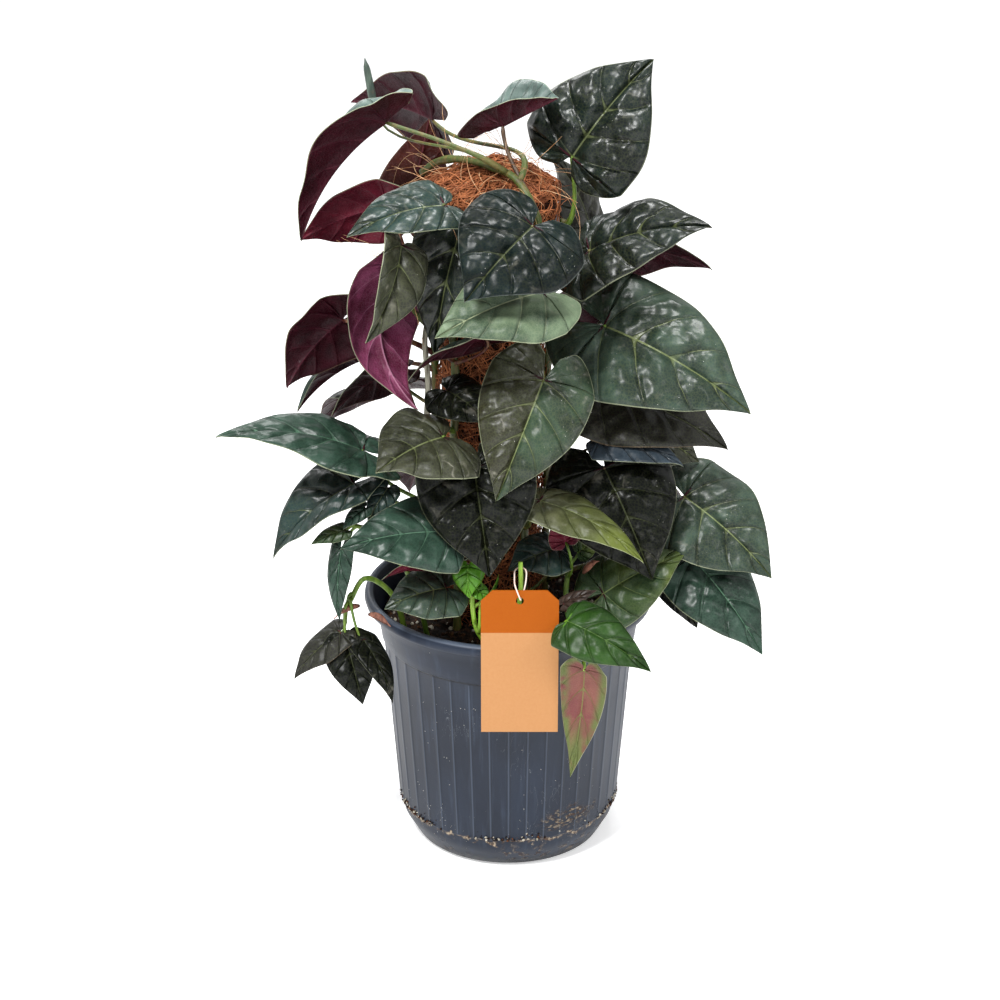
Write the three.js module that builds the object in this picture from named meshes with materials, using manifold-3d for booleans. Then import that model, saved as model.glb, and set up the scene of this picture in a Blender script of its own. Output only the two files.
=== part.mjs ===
// A potted red arrow syngonium: a climbing aroid on a coir pole in a round nursery pot.
// Millimetres, +Z up. The origin is the middle of the pot's underside.
import * as THREE from "three";
import { mergeVertices } from "three/addons/utils/BufferGeometryUtils.js";
import Module from "manifold-3d";

const wasm = await Module();
wasm.setup();

// Clearance between pieces that touch
const GAP = 0.35;

// Pot: a fluted wall between a base band and a smooth collar, under a rolled lip
const POT = {
  sides: 56,
  height: 222,
  lipRadius: 120,
  collarFoot: 182,
  collarRadius: 106.4,
  wallTopRadius: 104.3,
  wallFootRadius: 92.8,
  bandTop: 31,
  bandRadius: 91.2,
  footRadius: 75,
  floor: 3,
  innerStep: 4,
  fluteDepth: 0.9,
  drainHoles: 6,
  drainRadius: 6,
  drainRing: 50,
};

// Soil: fills the pot to a little under its lip
const SOIL = { top: 200, sides: 32, crumb: 1.1, stemClearance: 1.4, stemHoleSides: 7, cutTop: 230 };

// Pole: a bare core in a sleeve of coir that loosens and flares at its top
const POLE = {
  x: -14,
  coreRadius: 20,
  coreFoot: 40,
  coreTop: 548,
  coreSides: 16,
  sleeveFoot: 150,
  sides: 22,
  ripple: 0.7,
};
const SLEEVE_PROFILE = [
  [150, 37], [206, 37], [216, 38], [280, 39], [356, 39.5], [430, 39.5],
  [497, 41], [526, 45], [545, 51], [557, 54], [565, 50], [571, 36], [574, 16],
];

// Climbing stems: where each stands round the pole, in degrees from +X, and how high it grows
const STEM = { radius: 3.4, foot: 168, standoff: 6, sides: 5, steps: 11 };
const STEMS = {
  right: { angle: 2, top: 535 },
  front_right: {
    angle: -55,
    top: 545,
    steps: 18,
    over: [
      [18, -53, 560], [5, -40, 579], [-14, -22, 584], [-38, -2, 585], [-58, 14, 578], [-68, 22, 568],
    ],
  },
  front_left: { angle: -130, top: 563 },
  left: { angle: 176, top: 520 },
  back_left: { angle: 118, top: 545 },
  back_right: { angle: 58, top: 530 },
};

// Young shoots that come out of the soil by themselves: the points of each stalk
const SHOOTS = {
  shoot_right: {
    radius: 2.6,
    steps: 4,
    stalks: [
      [[52, -72, 172], [52, -72, 205], [54, -75, 238]],
      [[52, -72, 176], [52, -72, 205], [46, -60, 240], [50, -54, 272]],
    ],
  },
  shoot_front: {
    radius: 2.3,
    steps: 5,
    stalks: [
      [[-14, -92, 172], [-14, -92, 204], [-26, -95, 228], [-30, -97, 266]],
      [[-14, -92, 176], [-14, -92, 204], [2, -103, 225], [9, -105, 262], [9, -105, 290]],
    ],
  },
  shoot_left: {
    radius: 2.6,
    steps: 6,
    stalks: [[[-86, -44, 172], [-86, -44, 206], [-96, -52, 240], [-116, -66, 258], [-128, -74, 240]]],
  },
  shoot_side: {
    radius: 2.4,
    steps: 6,
    stalks: [[[-66, -66, 172], [-66, -66, 206], [-76, -68, 250], [-98, -66, 296], [-122, -70, 306]]],
  },
};

// Blades and their petioles
const BLADE = { thickness: 0.9, bend: 0.09, fold: 0.12, lobe: 0.28, curl: 0.14, wave: 0.035 };
const PETIOLE = {
  radius: 1.9,
  smallRadius: 1.35,
  sides: 4,
  steps: 5,
  smallSteps: 3,
  sink: 0.3,
  leaveShare: 0.36,
  arriveShare: 0.34,
};

// Half of a blade's outline from its tip round to the notch, in blade lengths and widths (lobe
// lengths behind the base), each point with the place on the midrib that its side vein leaves
const OUTLINE = [
  [1.0, 0.0, 1.0],
  [0.83, 0.135, 0.72],
  [0.62, 0.315, 0.44],
  [0.37, 0.46, 0.19],
  [0.1, 0.5, 0.0],
  [-0.3, 0.45, 0.0],
  [-0.78, 0.33, 0.0],
  [-1.0, 0.2, 0.0],
  [-0.72, 0.07, 0.0],
];
const SMALL_OUTLINE = OUTLINE.filter((_, i) => i !== 1 && i !== 5);

// Each leaf: its name, the stem it grows from and the height where its petiole leaves it, then the
// blade's base, tip and the way its upper side faces, its width, and what is special in its shape
const LEAVES = [
  ["crown_left", "front_right", 582, [-94, -25, 619], [-160, -40, 531], [-9, 1, 4], 88,
    { fold: 0.8, leave: [-7, -4, 6] }],
  ["crown_back_left", "front_right", 577, [-61, 70, 599], [-128, 108, 605], [0, 9, 4], 86,
    { fold: 0.25, leave: [5, 5, 8], arrive: [5, -4, -5] }],
  ["crown_middle", "front_right", 548, [-5, -18, 615], [36, -58, 646], [0, 0, 10], 80,
    { bend: 0, fold: 1, lobe: 0.7, leave: [-4, -10, 25], arrive: [0, 0, -1] }],
  ["crown_right", "right", 526, [48, -22, 592], [110, 3, 662], [-2, -8, 5], 100, { lobe: 0.16 }],
  ["crown_behind", "back_left", 470, [-81, 45, 533], [-63, 60, 603], [2, 9, 2], 60,
    { fold: 0.3, small: true }],
  ["shoulder_back", "back_right", 455, [66, 43, 517], [34, 53, 574], [6, -5, 5], 60, { small: true }],
  ["heart_upper", "front_right", 470, [17, -100, 559], [-33, -143, 514], [1, -7, 7], 98,
    { leave: [-10, -5, 12], arrive: [-3, 8, -4] }],
  ["heart_pale", "front_right", 455, [24, -99, 508], [-55, -133, 483], [1, -6, 8], 78, {}],
  ["left_bullate", "front_left", 470, [-36, -62, 550], [-57, -78, 452], [-3, -9, 3], 70,
    { lobe: 0.08 }],
  ["left_shelf", "front_left", 560, [-49, -81, 570], [-120, -108, 553], [0, -4, 9], 62,
    { fold: 0.25, lobe: 0.15, leave: [-1, -5, 8], arrive: [0, 9, -1] }],
  ["left_red_far", "left", 480, [-96, -5, 548], [-163, -15, 524], [-1, 8, 3], 60, { small: true }],
  ["right_shelf", "right", 485, [62, -25, 519], [153, -60, 548], [1, -5, 8], 90, {}],
  ["right_red_under", "back_right", 440, [71, 24, 505], [161, 4, 495], [0, 7, 6], 66,
    { lobe: 0.16, small: true }],
  ["right_red_mid", "back_right", 410, [49, 44, 448], [106, 52, 468], [1, 8, 5], 60, { small: true }],
  ["right_red_low", "right", 385, [48, 22, 403], [92, 32, 417], [1, 8, 5], 55, { small: true }],
  ["right_largest", "right", 440, [75, -36, 461], [188, -73, 402], [3, -8, 6], 116, {}],
  ["front_centre", "front_right", 450, [26, -88, 434], [-10, -121, 348], [0, -9, 3], 86, {}],
  ["right_brown", "right", 350, [73, -20, 404], [175, -35, 357], [2, -6, 8], 92, {}],
  ["right_blue", "right", 330, [74, -43, 370], [138, -58, 352], [2, -4, 9], 46,
    { lobe: 0.15, small: true }],
  ["right_olive", "back_right", 330, [106, 4, 361], [156, 6, 330], [3, -7, 6], 56, { small: true }],
  ["right_lower", "right", 275, [143, -20, 310], [213, -52, 252], [3, -8, 6], 96, {}],
  ["right_dark_round", "front_right", 310, [76, -48, 346], [114, -82, 264], [1, -9, 5], 104, {}],
  ["front_narrow", "front_right", 290, [25, -81, 332], [105, -111, 292], [4, -3, 9], 56,
    { lobe: 0.15 }],
  ["right_hanging", "right", 225, [150, -30, 260], [207, -62, 188], [4, -9, 4], 74, { lobe: 0.2 }],
  ["right_dark_back", "back_right", 222, [134, 4, 246], [158, -8, 186], [-3, -8, 4], 46,
    { small: true }],
  ["low_right_green", "shoot_right", 228, [76, -74, 249], [142, -58, 277], [1, -6, 8], 66,
    { leave: [9, 1, 5] }],
  ["low_bright", "shoot_right", 228, [46, -126, 249], [110, -152, 218], [2, -7, 7], 50, { lobe: 0.08 }],
  ["low_pink", "shoot_right", 216, [59, -138, 212], [49, -136, 116], [3, 9, 0], 38,
    { lobe: 0.12, arrive: [-1, 3, 9] }],
  ["left_red_large", "left", 425, [-130, -33, 465], [-174, -48, 414], [-6, 8, 2], 78, { lobe: 0.35 }],
  ["left_folded", "left", 410, [-107, 14, 420], [-171, -4, 378], [-7, 1, 7], 70, { fold: 0.6 }],
  ["left_magenta", "front_left", 432, [-86, -52, 514], [-71, -85, 409], [-7, 7, 0], 86,
    { bend: 0.28, lobe: 0.14 }],
  ["left_olive_small", "front_left", 452, [-80, -97, 543], [-106, -136, 480], [8, -5, 4], 58,
    { fold: 0.5, lobe: 0.08, leave: [-5, 0, 1], arrive: [-2, 8, -4] }],
  ["left_burgundy", "left", 352, [-92, 8, 408], [-143, -6, 375], [-4, 6, 5], 56, { small: true }],
  ["centre_red_narrow", "front_left", 430, [-19, -62, 460], [-77, -98, 438], [0, 6, 8], 48,
    { small: true, leave: [3, -8, 3] }],
  ["left_long", "front_left", 300, [-116, -48, 362], [-231, -53, 375], [0, -1, 9], 84, { fold: 0.2 }],
  ["left_drooping", "front_left", 285, [-124, -48, 333], [-189, -64, 275], [-6, -4, 7], 76,
    { fold: 0.45 }],
  ["front_olive", "front_left", 372, [-51, -90, 389], [-101, -130, 375], [0, -5, 9], 88,
    { arrive: [1, 9, -3] }],
  ["front_black_small", "front_left", 395, [-48, -60, 416], [-13, -86, 397], [0, -6, 8], 46,
    { small: true }],
  ["front_black", "front_left", 330, [-27, -94, 365], [-15, -123, 285], [0, -9, 5], 94, {}],
  ["left_elliptic", "front_left", 262, [-48, -96, 312], [-130, -122, 309], [0, -6, 8], 70,
    { lobe: 0.12 }],
  ["rim_red", "front_left", 240, [-40, -87, 283], [-100, -105, 275], [0, 6, 7], 38,
    { lobe: 0.15, small: true }],
  ["rim_grey", "front_left", 222, [-50, -92, 262], [-98, -106, 250], [0, -5, 9], 56, { small: true }],
  ["soil_dark", "front_right", 230, [38, -58, 281], [-1, -80, 271], [0, -5, 9], 48,
    { lobe: 0.12, small: true }],
];

// Leaves at the back of the plant, which grow as one piece with the two stems there
const BACK_LEAVES = [
  ["back_left", 505, [-60, 78, 530], [-88, 150, 484], [-3, 6, 8], 88],
  ["back_right", 490, [36, 84, 520], [66, 152, 466], [3, 7, 7], 92],
  ["back_left", 440, [-34, 92, 466], [-46, 172, 408], [-1, 8, 6], 96],
  ["back_right", 400, [85, 77, 426], [148, 116, 370], [5, 6, 7], 90],
  ["back_left", 345, [-92, 66, 380], [-164, 100, 322], [-5, 6, 7], 90],
  ["back_right", 340, [34, 94, 372], [52, 170, 308], [2, 8, 6], 94],
  ["back_left", 270, [-60, 88, 308], [-88, 152, 244], [-3, 8, 5], 86],
  ["back_right", 262, [92, 66, 296], [150, 104, 238], [5, 7, 5], 84],
  ["back_right", 225, [20, 92, 262], [30, 146, 236], [1, 7, 7], 66],
];

// Small leaves that grow as one piece with a young shoot: the shoot, its stalk, the height there
const YOUNG_LEAVES = [
  ["shoot_left", 0, 0.93, [-136, -78, 216], [-173, -88, 179], [-5, -5, 7], 36],
  ["shoot_left", 0, 0.99, [-130, -84, 211], [-117, -102, 163], [1, -9, 4], 42],
  ["shoot_left", 0, 0.95, [-116, -84, 212], [-92, -116, 172], [6, -8, 3], 28],
  ["shoot_side", 0, 0.96, [-133, -74, 287], [-135, -82, 228], [-4, -9, 1], 22],
  ["shoot_side", 0, 0.6, [-96, -60, 334], [-112, -70, 308], [-3, -9, 3], 24],
  ["shoot_side", 0, 0.8, [-114, -72, 322], [-131, -78, 306], [-3, -6, 8], 18],
  ["shoot_side", 0, 0.98, [-130, -72, 303], [-157, -76, 292], [-2, -6, 8], 18],
  ["shoot_front", 0, 0.98, [-32, -99, 284], [-31, -108, 260], [-3, -9, 4], 27],
  ["shoot_front", 0, 0.7, [-26, -101, 266], [-14, -108, 256], [2, -8, 5], 14],
  ["shoot_front", 0, 0.85, [-20, -100, 258], [-22, -98, 278], [-8, -5, 2], 7],
  ["shoot_front", 0, 0.6, [-17, -100, 256], [-8, -100, 277], [8, -5, 2], 7],
  ["shoot_right", 0, 0.95, [44, -84, 244], [70, -82, 255], [0, -7, 7], 14],
  ["shoot_right", 1, 0.95, [56, -60, 279], [74, -64, 294], [3, -6, 6], 20],
  ["shoot_right", 1, 0.85, [45, -80, 296], [37, -82, 318], [-2, 8, 3], 26],
];

// The rolled new leaf that stands up behind the crown
const SPEAR = {
  stem: "front_right",
  from: 583,
  leave: [-6, -5, 9],
  foot: [-105, 34, 615],
  tip: [-112, 37, 655],
  radius: 2.3,
};

// Tag: a card that hangs from a loop round the front shoot and leans on the lip
const TAG = {
  width: 61,
  height: 124,
  foot: 149,
  left: -22,
  chamfer: 9,
  thickness: 0.9,
  hole: 3.2,
  holeDrop: 9,
};
const TAG_BACK = -POT.lipRadius - GAP;
const LOOP = {
  radius: 0.7,
  path: [
    [9, -122.6, 265.4], [7, -123.2, 271], [4.6, -121.4, 277.6], [4.3, -112, 281], [5, -104.5, 283],
    [9, -101.6, 284], [13, -104.5, 283], [13.4, -112, 279], [11.5, -118.2, 271], [9.4, -119.2, 265.4],
  ],
};

const LOOKS = {
  pot: { color: 0x454b57, roughness: 0.42 },
  soil: { color: 0x1b1410, roughness: 0.95 },
  core: { color: 0x6e5a40, roughness: 0.8 },
  coir: { color: 0xa4562a, roughness: 0.95 },
  stem: { color: 0x6f8a2c, roughness: 0.5 },
  leaf: { color: 0x2c3a37, roughness: 0.42 },
  tag: { color: 0xe9a45c, roughness: 0.6 },
  loop: { color: 0xe3c9c0, roughness: 0.4 },
};

const group = new THREE.Group();
group.name = "potted_red_arrow_syngonium";

function vector(p) {
  return new THREE.Vector3(...p);
}

function lerp(a, b, t) {
  return a + (b - a) * t;
}

// A closed geometry as a solid that can be joined and cut
function solid(geometry) {
  const bare = new THREE.BufferGeometry();
  bare.setAttribute("position", geometry.getAttribute("position"));
  if (geometry.index) bare.setIndex(geometry.index);
  const merged = mergeVertices(bare, 1e-4);
  const vertProperties = merged.getAttribute("position").array;
  const triVerts = Uint32Array.from(merged.index.array);
  return new wasm.Manifold(new wasm.Mesh({ numProp: 3, vertProperties, triVerts }));
}

function addMesh(name, body, look) {
  const { vertProperties, triVerts } = body.getMesh();
  const geometry = new THREE.BufferGeometry();
  geometry.setAttribute("position", new THREE.BufferAttribute(Float32Array.from(vertProperties), 3));
  geometry.setIndex(new THREE.BufferAttribute(Uint32Array.from(triVerts), 1));
  geometry.computeVertexNormals();
  const mesh = new THREE.Mesh(geometry, new THREE.MeshStandardMaterial(LOOKS[look]));
  mesh.name = name;
  group.add(mesh);
}

// A profile of [radius, height] points turned about +Z. shift(column, radius, height) returns what
// a point's radius and height change by.
function turned(profile, sides, [x, y] = [0, 0], shift = null) {
  const points = profile.map(([r, z]) => new THREE.Vector2(r, z));
  const geometry = new THREE.LatheGeometry(points, sides).rotateX(Math.PI / 2);
  const place = geometry.getAttribute("position");
  for (let i = 0; i < place.count; i++) {
    const [r, z] = profile[i % profile.length];
    const column = Math.floor(i / profile.length) % sides;
    const [wider, higher] = shift && r > 0 ? shift(column, r, z) : [0, 0];
    const stretch = r > 0 ? (r + wider) / r : 1;
    place.setXYZ(i, place.getX(i) * stretch + x, place.getY(i) * stretch + y, z + higher);
  }
  return solid(geometry);
}

function rod(x, y, radius, foot, top, sides) {
  return turned([[0, foot], [radius, foot], [radius, top], [0, top]], sides, [x, y]);
}

function polygon(radius, sides) {
  const corner = (_, i) => {
    const angle = (i / sides) * Math.PI * 2;
    return new THREE.Vector2(radius * Math.cos(angle), radius * Math.sin(angle));
  };
  return new THREE.Shape(Array.from({ length: sides }, corner));
}

function tube(path, radius, steps, sides) {
  const settings = { steps, bevelEnabled: false, extrudePath: path };
  return solid(new THREE.ExtrudeGeometry(polygon(radius, sides), settings));
}

// Pot

function makePot() {
  const { floor, bandTop, collarFoot, wallFootRadius, wallTopRadius, innerStep } = POT;
  const outside = [
    [0, 0], [POT.footRadius, 0], [83.5, 9], [89.6, 20], [POT.bandRadius, bandTop - 1],
    [wallFootRadius, bandTop + 0.6], [wallTopRadius, collarFoot - 1],
    [POT.collarRadius, collarFoot + 0.6], [111, 211], [118.4, 212.4],
    [POT.lipRadius, 216], [118.4, POT.height - 1], [115, POT.height], [112.4, 219],
  ];
  const inside = [
    [108.2, 206], [wallTopRadius - innerStep, collarFoot - 4], [wallFootRadius - innerStep, bandTop],
    [83.5, 14], [73, floor], [0, floor],
  ];
  const flute = (column, r, z) => {
    const onWall = (r === wallFootRadius || r === wallTopRadius) && column % 2 === 1;
    return [onWall ? -POT.fluteDepth : 0, 0];
  };
  let pot = turned([...outside, ...inside], POT.sides, [0, 0], flute);
  for (let i = 0; i < POT.drainHoles; i++) {
    const angle = ((i + 0.5) / POT.drainHoles) * Math.PI * 2;
    const [x, y] = [POT.drainRing * Math.cos(angle), POT.drainRing * Math.sin(angle)];
    pot = pot.subtract(rod(x, y, POT.drainRadius, -1, floor + 1, 8));
  }
  addMesh("pot", pot, "pot");
}

// Pole

function sleeveRadius(z) {
  const i = Math.max(1, SLEEVE_PROFILE.findIndex((row) => row[0] >= z));
  const [[z0, r0], [z1, r1]] = [SLEEVE_PROFILE[i - 1], SLEEVE_PROFILE[i]];
  return lerp(r0, r1, THREE.MathUtils.clamp((z - z0) / (z1 - z0), 0, 1));
}

function makePole() {
  const { x, coreRadius, coreFoot, coreTop, coreSides, sleeveFoot, sides } = POLE;
  const shaggy = (column, r, z) => {
    const angle = (column / sides) * Math.PI * 2;
    const ripple = Math.sin(3 * angle + z * 0.05) + Math.sin(7 * angle - z * 0.083);
    return [z > SLEEVE_PROFILE[1][0] && r > coreRadius ? POLE.ripple * ripple : 0, 0];
  };
  const crown = SLEEVE_PROFILE[SLEEVE_PROFILE.length - 1][0] + 1;
  const profile = [[0, sleeveFoot], ...SLEEVE_PROFILE.map(([z, r]) => [r, z]), [0, crown]];
  const bore = rod(x, 0, coreRadius + GAP, sleeveFoot - 1, coreTop + GAP, coreSides);
  addMesh("pole_core", rod(x, 0, coreRadius, coreFoot, coreTop, coreSides), "core");
  addMesh("coir_sleeve", turned(profile, sides, [x, 0], shaggy).subtract(bore), "coir");
}

// Stems

function climb({ angle, top, over = [] }) {
  const bearing = THREE.MathUtils.degToRad(angle);
  const points = [STEM.foot, 206, 255, 305, 355, 405, 455, 500, top].map((z) => {
    const reach = sleeveRadius(THREE.MathUtils.clamp(z + 12, 218, 557)) + STEM.standoff;
    const sway = z > 210 ? 0.05 * Math.sin(z * 0.045 + angle) : 0;
    const [east, north] = [Math.cos(bearing + sway), Math.sin(bearing + sway)];
    return new THREE.Vector3(POLE.x + reach * east, reach * north, z);
  });
  return [...points, ...over.map(vector)];
}

function smooth(points) {
  return new THREE.CatmullRomCurve3(points, false, "centripetal");
}

// The centre lines of every stem and shoot, by name
const LINES = {};
for (const [name, stem] of Object.entries(STEMS)) LINES[name] = [smooth(climb(stem))];
for (const [name, { stalks }] of Object.entries(SHOOTS)) {
  LINES[name] = stalks.map((points) => smooth(points.map(vector)));
}

function stemRadius(name) {
  return SHOOTS[name]?.radius ?? STEM.radius;
}

function stemSteps(name) {
  return (SHOOTS[name] ?? STEMS[name]).steps ?? STEM.steps;
}

function stemBody(name) {
  const stalks = LINES[name].map((line) => tube(line, stemRadius(name), stemSteps(name), STEM.sides));
  return stalks.reduce((all, stalk) => all.add(stalk));
}

// The point of a stem's axis at a height
function pointAtHeight(name, z) {
  const points = LINES[name][0].getSpacedPoints(stemSteps(name));
  const i = points.findIndex((point) => point.z >= z);
  const [a, b] = [points[i - 1], points[i]];
  return a.clone().lerp(b, (z - a.z) / (b.z - a.z));
}

// Leaves

function leafFrame(base, tip, face) {
  const along = vector(tip).sub(vector(base));
  const length = along.length();
  along.normalize();
  const normal = vector(face);
  normal.addScaledVector(along, -normal.dot(along)).normalize();
  const across = new THREE.Vector3().crossVectors(normal, along);
  return { origin: vector(base), along, across, normal, length };
}

// A point in the middle of the blade's thickness: x along the midrib in blade lengths, y across it
// in blade widths
function bladePoint({ frame, width, shape }, x, y, ripple) {
  const { bend = BLADE.bend, fold = BLADE.fold } = shape;
  const edge = 4 * y * y * width;
  const droop = edge * (BLADE.curl * Math.cos(fold) - BLADE.wave * ripple);
  const rise = Math.abs(y) * width * Math.sin(fold) - droop;
  const arch = bend * frame.length * 4 * x * (1 - x);
  return frame.origin
    .clone()
    .addScaledVector(frame.along, x * frame.length)
    .addScaledVector(frame.across, y * width * Math.cos(fold))
    .addScaledVector(frame.normal, rise + arch);
}

// A thin closed blade: the same triangles above and below, and a wall round the margin
function blade(leaf) {
  const { lobe = BLADE.lobe, small } = leaf.shape;
  const outline = small ? SMALL_OUTLINE : OUTLINE;
  const rows = small ? 1 : 2;
  const base = outline.findIndex(([, , root]) => root === 0);
  const last = outline.length - 1;
  const numbers = new Map();
  const places = [];
  const vertex = (i, j, side) => {
    const onRib = j === 0 || i === 0;
    const key = onRib ? "rib" + Math.min(i, base) : [side, i, j].join();
    if (!numbers.has(key)) {
      const [x, y, root] = outline[i];
      const out = onRib ? 0 : j / rows;
      const ripple = onRib ? 0 : Math.sin(i * 2.1 + side * 0.9 + leaf.width);
      numbers.set(key, places.length);
      places.push(bladePoint(leaf, lerp(root, x < 0 ? x * lobe : x, out), side * y * out, ripple));
    }
    return numbers.get(key);
  };
  const faces = [];
  for (const side of [1, -1]) {
    for (let i = 0; i < last; i++) {
      for (let j = 0; j < rows; j++) {
        const ring = [[i, j], [i + 1, j], [i + 1, j + 1], [i, j + 1]].map(([m, n]) => vertex(m, n, side));
        const [a, b, c, d] = side > 0 ? [ring[0], ring[3], ring[2], ring[1]] : ring;
        faces.push([a, b, c], [a, c, d]);
      }
    }
  }
  const margin = [];
  for (let i = 0; i <= last; i++) margin.push(vertex(i, rows, 1));
  for (let j = rows - 1; j >= 0; j--) margin.push(vertex(last, j, 1));
  for (let j = 1; j < rows; j++) margin.push(vertex(last, j, -1));
  for (let i = last; i > 0; i--) margin.push(vertex(i, rows, -1));
  const whole = faces.filter(([a, b, c]) => a !== b && b !== c && c !== a);
  return thicken(places, whole, margin, leaf.frame.normal);
}

// Gives a sheet of triangles its thickness, half above and half below
function thicken(places, faces, margin, normal) {
  const count = places.length;
  const position = new Float32Array(count * 6);
  places.forEach((place, i) => {
    place.clone().addScaledVector(normal, BLADE.thickness / 2).toArray(position, i * 3);
    place.clone().addScaledVector(normal, -BLADE.thickness / 2).toArray(position, (i + count) * 3);
  });
  const index = faces.flatMap(([a, b, c]) => [a, b, c, a + count, c + count, b + count]);
  margin.forEach((a, i) => {
    const b = margin[(i + 1) % margin.length];
    index.push(a + count, b + count, b, a + count, b, a);
  });
  const geometry = new THREE.BufferGeometry();
  geometry.setAttribute("position", new THREE.BufferAttribute(position, 3));
  geometry.setIndex(index);
  return solid(geometry);
}

// A petiole leaves its stem outwards and upwards and comes to the blade from below and behind
function petiole({ frame, shape }, start) {
  const end = frame.origin.clone().addScaledVector(frame.normal, -PETIOLE.sink);
  const outwards = new THREE.Vector3(start.x - POLE.x, start.y, 0).normalize();
  const towards = end.clone().sub(start).setZ(0).normalize();
  const leave = outwards.multiplyScalar(0.6).addScaledVector(towards, 0.5);
  leave.z = 0.7;
  if (shape.leave) leave.copy(vector(shape.leave));
  leave.normalize();
  const arrive = frame.normal.clone().negate().addScaledVector(frame.along, -0.35);
  if (shape.arrive) arrive.copy(vector(shape.arrive));
  arrive.normalize();
  const span = end.distanceTo(start);
  const bow = (at, way, share) => at.clone().addScaledVector(way, span * share);
  const second = bow(start, leave, PETIOLE.leaveShare);
  const third = bow(end, arrive, PETIOLE.arriveShare);
  const path = new THREE.CubicBezierCurve3(start, second, third, end);
  const radius = shape.small ? PETIOLE.smallRadius : PETIOLE.radius;
  return tube(path, radius, shape.small ? PETIOLE.smallSteps : PETIOLE.steps, PETIOLE.sides);
}

// What a leaf that is a piece of its own leaves free: its stem, a little fatter
function seat(name) {
  return tube(LINES[name][0], stemRadius(name) + GAP, stemSteps(name), STEM.sides);
}

function makeLeaves() {
  for (const [name, stem, from, base, tip, face, width, shape] of LEAVES) {
    const leaf = { width, shape, frame: leafFrame(base, tip, face) };
    const start = pointAtHeight(stem, from);
    addMesh("leaf_" + name, blade(leaf).add(petiole(leaf, start).subtract(seat(stem))), "leaf");
  }
}

function makeStems() {
  const bodies = Object.fromEntries(Object.keys(LINES).map((name) => [name, stemBody(name)]));
  for (const [stem, from, base, tip, face, width] of BACK_LEAVES) {
    const leaf = { width, shape: { small: true }, frame: leafFrame(base, tip, face) };
    const start = pointAtHeight(stem, from);
    bodies[stem] = bodies[stem].add(blade(leaf)).add(petiole(leaf, start));
  }
  for (const [shoot, stalk, share, base, tip, face, width] of YOUNG_LEAVES) {
    const leaf = { width, shape: { small: true, lobe: 0.18 }, frame: leafFrame(base, tip, face) };
    const start = LINES[shoot][stalk].getPoint(share);
    bodies[shoot] = bodies[shoot].add(blade(leaf)).add(petiole(leaf, start));
  }
  for (const [name, body] of Object.entries(bodies)) {
    addMesh(SHOOTS[name] ? name : "stem_" + name, body, "stem");
  }
}

function makeSpear() {
  const { stem, from, leave, foot, tip, radius } = SPEAR;
  const along = vector(tip).sub(vector(foot));
  const length = along.length();
  along.normalize();
  const profile = [
    [0, 0], [radius * 0.6, 1], [radius, length * 0.4], [radius * 0.8, length * 0.8], [0, length],
  ];
  const roll = new THREE.LatheGeometry(profile.map(([r, z]) => new THREE.Vector2(r, z)), 6);
  roll.applyQuaternion(new THREE.Quaternion().setFromUnitVectors(new THREE.Vector3(0, 1, 0), along));
  roll.translate(...foot);
  const frame = { normal: along, along, origin: vector(foot).addScaledVector(along, 3) };
  const stalk = petiole({ frame, shape: { leave, small: true } }, pointAtHeight(stem, from));
  addMesh("leaf_spear", solid(roll).add(stalk.subtract(seat(stem))), "leaf");
}

// Soil

function makeSoil() {
  const crumbled = (column, r, z) => {
    const angle = (column / SOIL.sides) * Math.PI * 2;
    const height = Math.sin(r * 0.19 + 4 * angle) + Math.sin(r * 0.11 - 7 * angle);
    return [0, z > SOIL.top - 1 ? SOIL.crumb * height : 0];
  };
  const inset = 2 * GAP;
  const { floor, bandTop, wallFootRadius, wallTopRadius, innerStep } = POT;
  const profile = [
    [0, floor + GAP], [72, floor + GAP], [83.3 - inset, 14.4],
    [wallFootRadius - innerStep - inset, bandTop + 0.2],
    [wallTopRadius - innerStep - inset, POT.collarFoot - 4.2], [105.6 - inset, SOIL.top - 3],
    [88, SOIL.top], [62, SOIL.top + 1], [40, SOIL.top], [0, SOIL.top],
  ];
  const { x, coreRadius, coreFoot, coreSides, sleeveFoot, sides } = POLE;
  let soil = turned(profile, SOIL.sides, [0, 0], crumbled);
  soil = soil.subtract(rod(x, 0, SLEEVE_PROFILE[0][1] + GAP, sleeveFoot - GAP, SOIL.cutTop, sides));
  soil = soil.subtract(rod(x, 0, coreRadius + GAP, coreFoot - GAP, SOIL.cutTop, coreSides));
  for (const [name, [line]] of Object.entries(LINES)) {
    const foot = line.getPoint(0);
    const hole = stemRadius(name) + SOIL.stemClearance;
    soil = soil.subtract(rod(foot.x, foot.y, hole, foot.z - GAP, SOIL.cutTop, SOIL.stemHoleSides));
  }
  addMesh("soil", soil, "soil");
}

// Tag

function makeTag() {
  const { width, height, foot, left, chamfer, thickness, hole, holeDrop } = TAG;
  const card = new THREE.Shape([
    new THREE.Vector2(0, 0),
    new THREE.Vector2(width, 0),
    new THREE.Vector2(width, height - chamfer),
    new THREE.Vector2(width - chamfer, height),
    new THREE.Vector2(chamfer, height),
    new THREE.Vector2(0, height - chamfer),
  ]);
  const middle = new THREE.Vector2(width / 2, height - holeDrop);
  const punched = polygon(hole, 10).getPoints().map((point) => point.add(middle));
  card.holes.push(new THREE.Path(punched));
  const geometry = new THREE.ExtrudeGeometry(card, { depth: thickness, bevelEnabled: false });
  geometry.rotateX(Math.PI / 2);
  geometry.translate(left, TAG_BACK, foot);
  addMesh("tag", solid(geometry), "tag");
  const ring = new THREE.CatmullRomCurve3(LOOP.path.map(vector), true, "centripetal");
  addMesh("tag_loop", solid(new THREE.TubeGeometry(ring, 18, LOOP.radius, 4, true)), "loop");
}

makePot();
makeSoil();
makePole();
makeStems();
makeLeaves();
makeSpear();
makeTag();

export default group;
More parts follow.
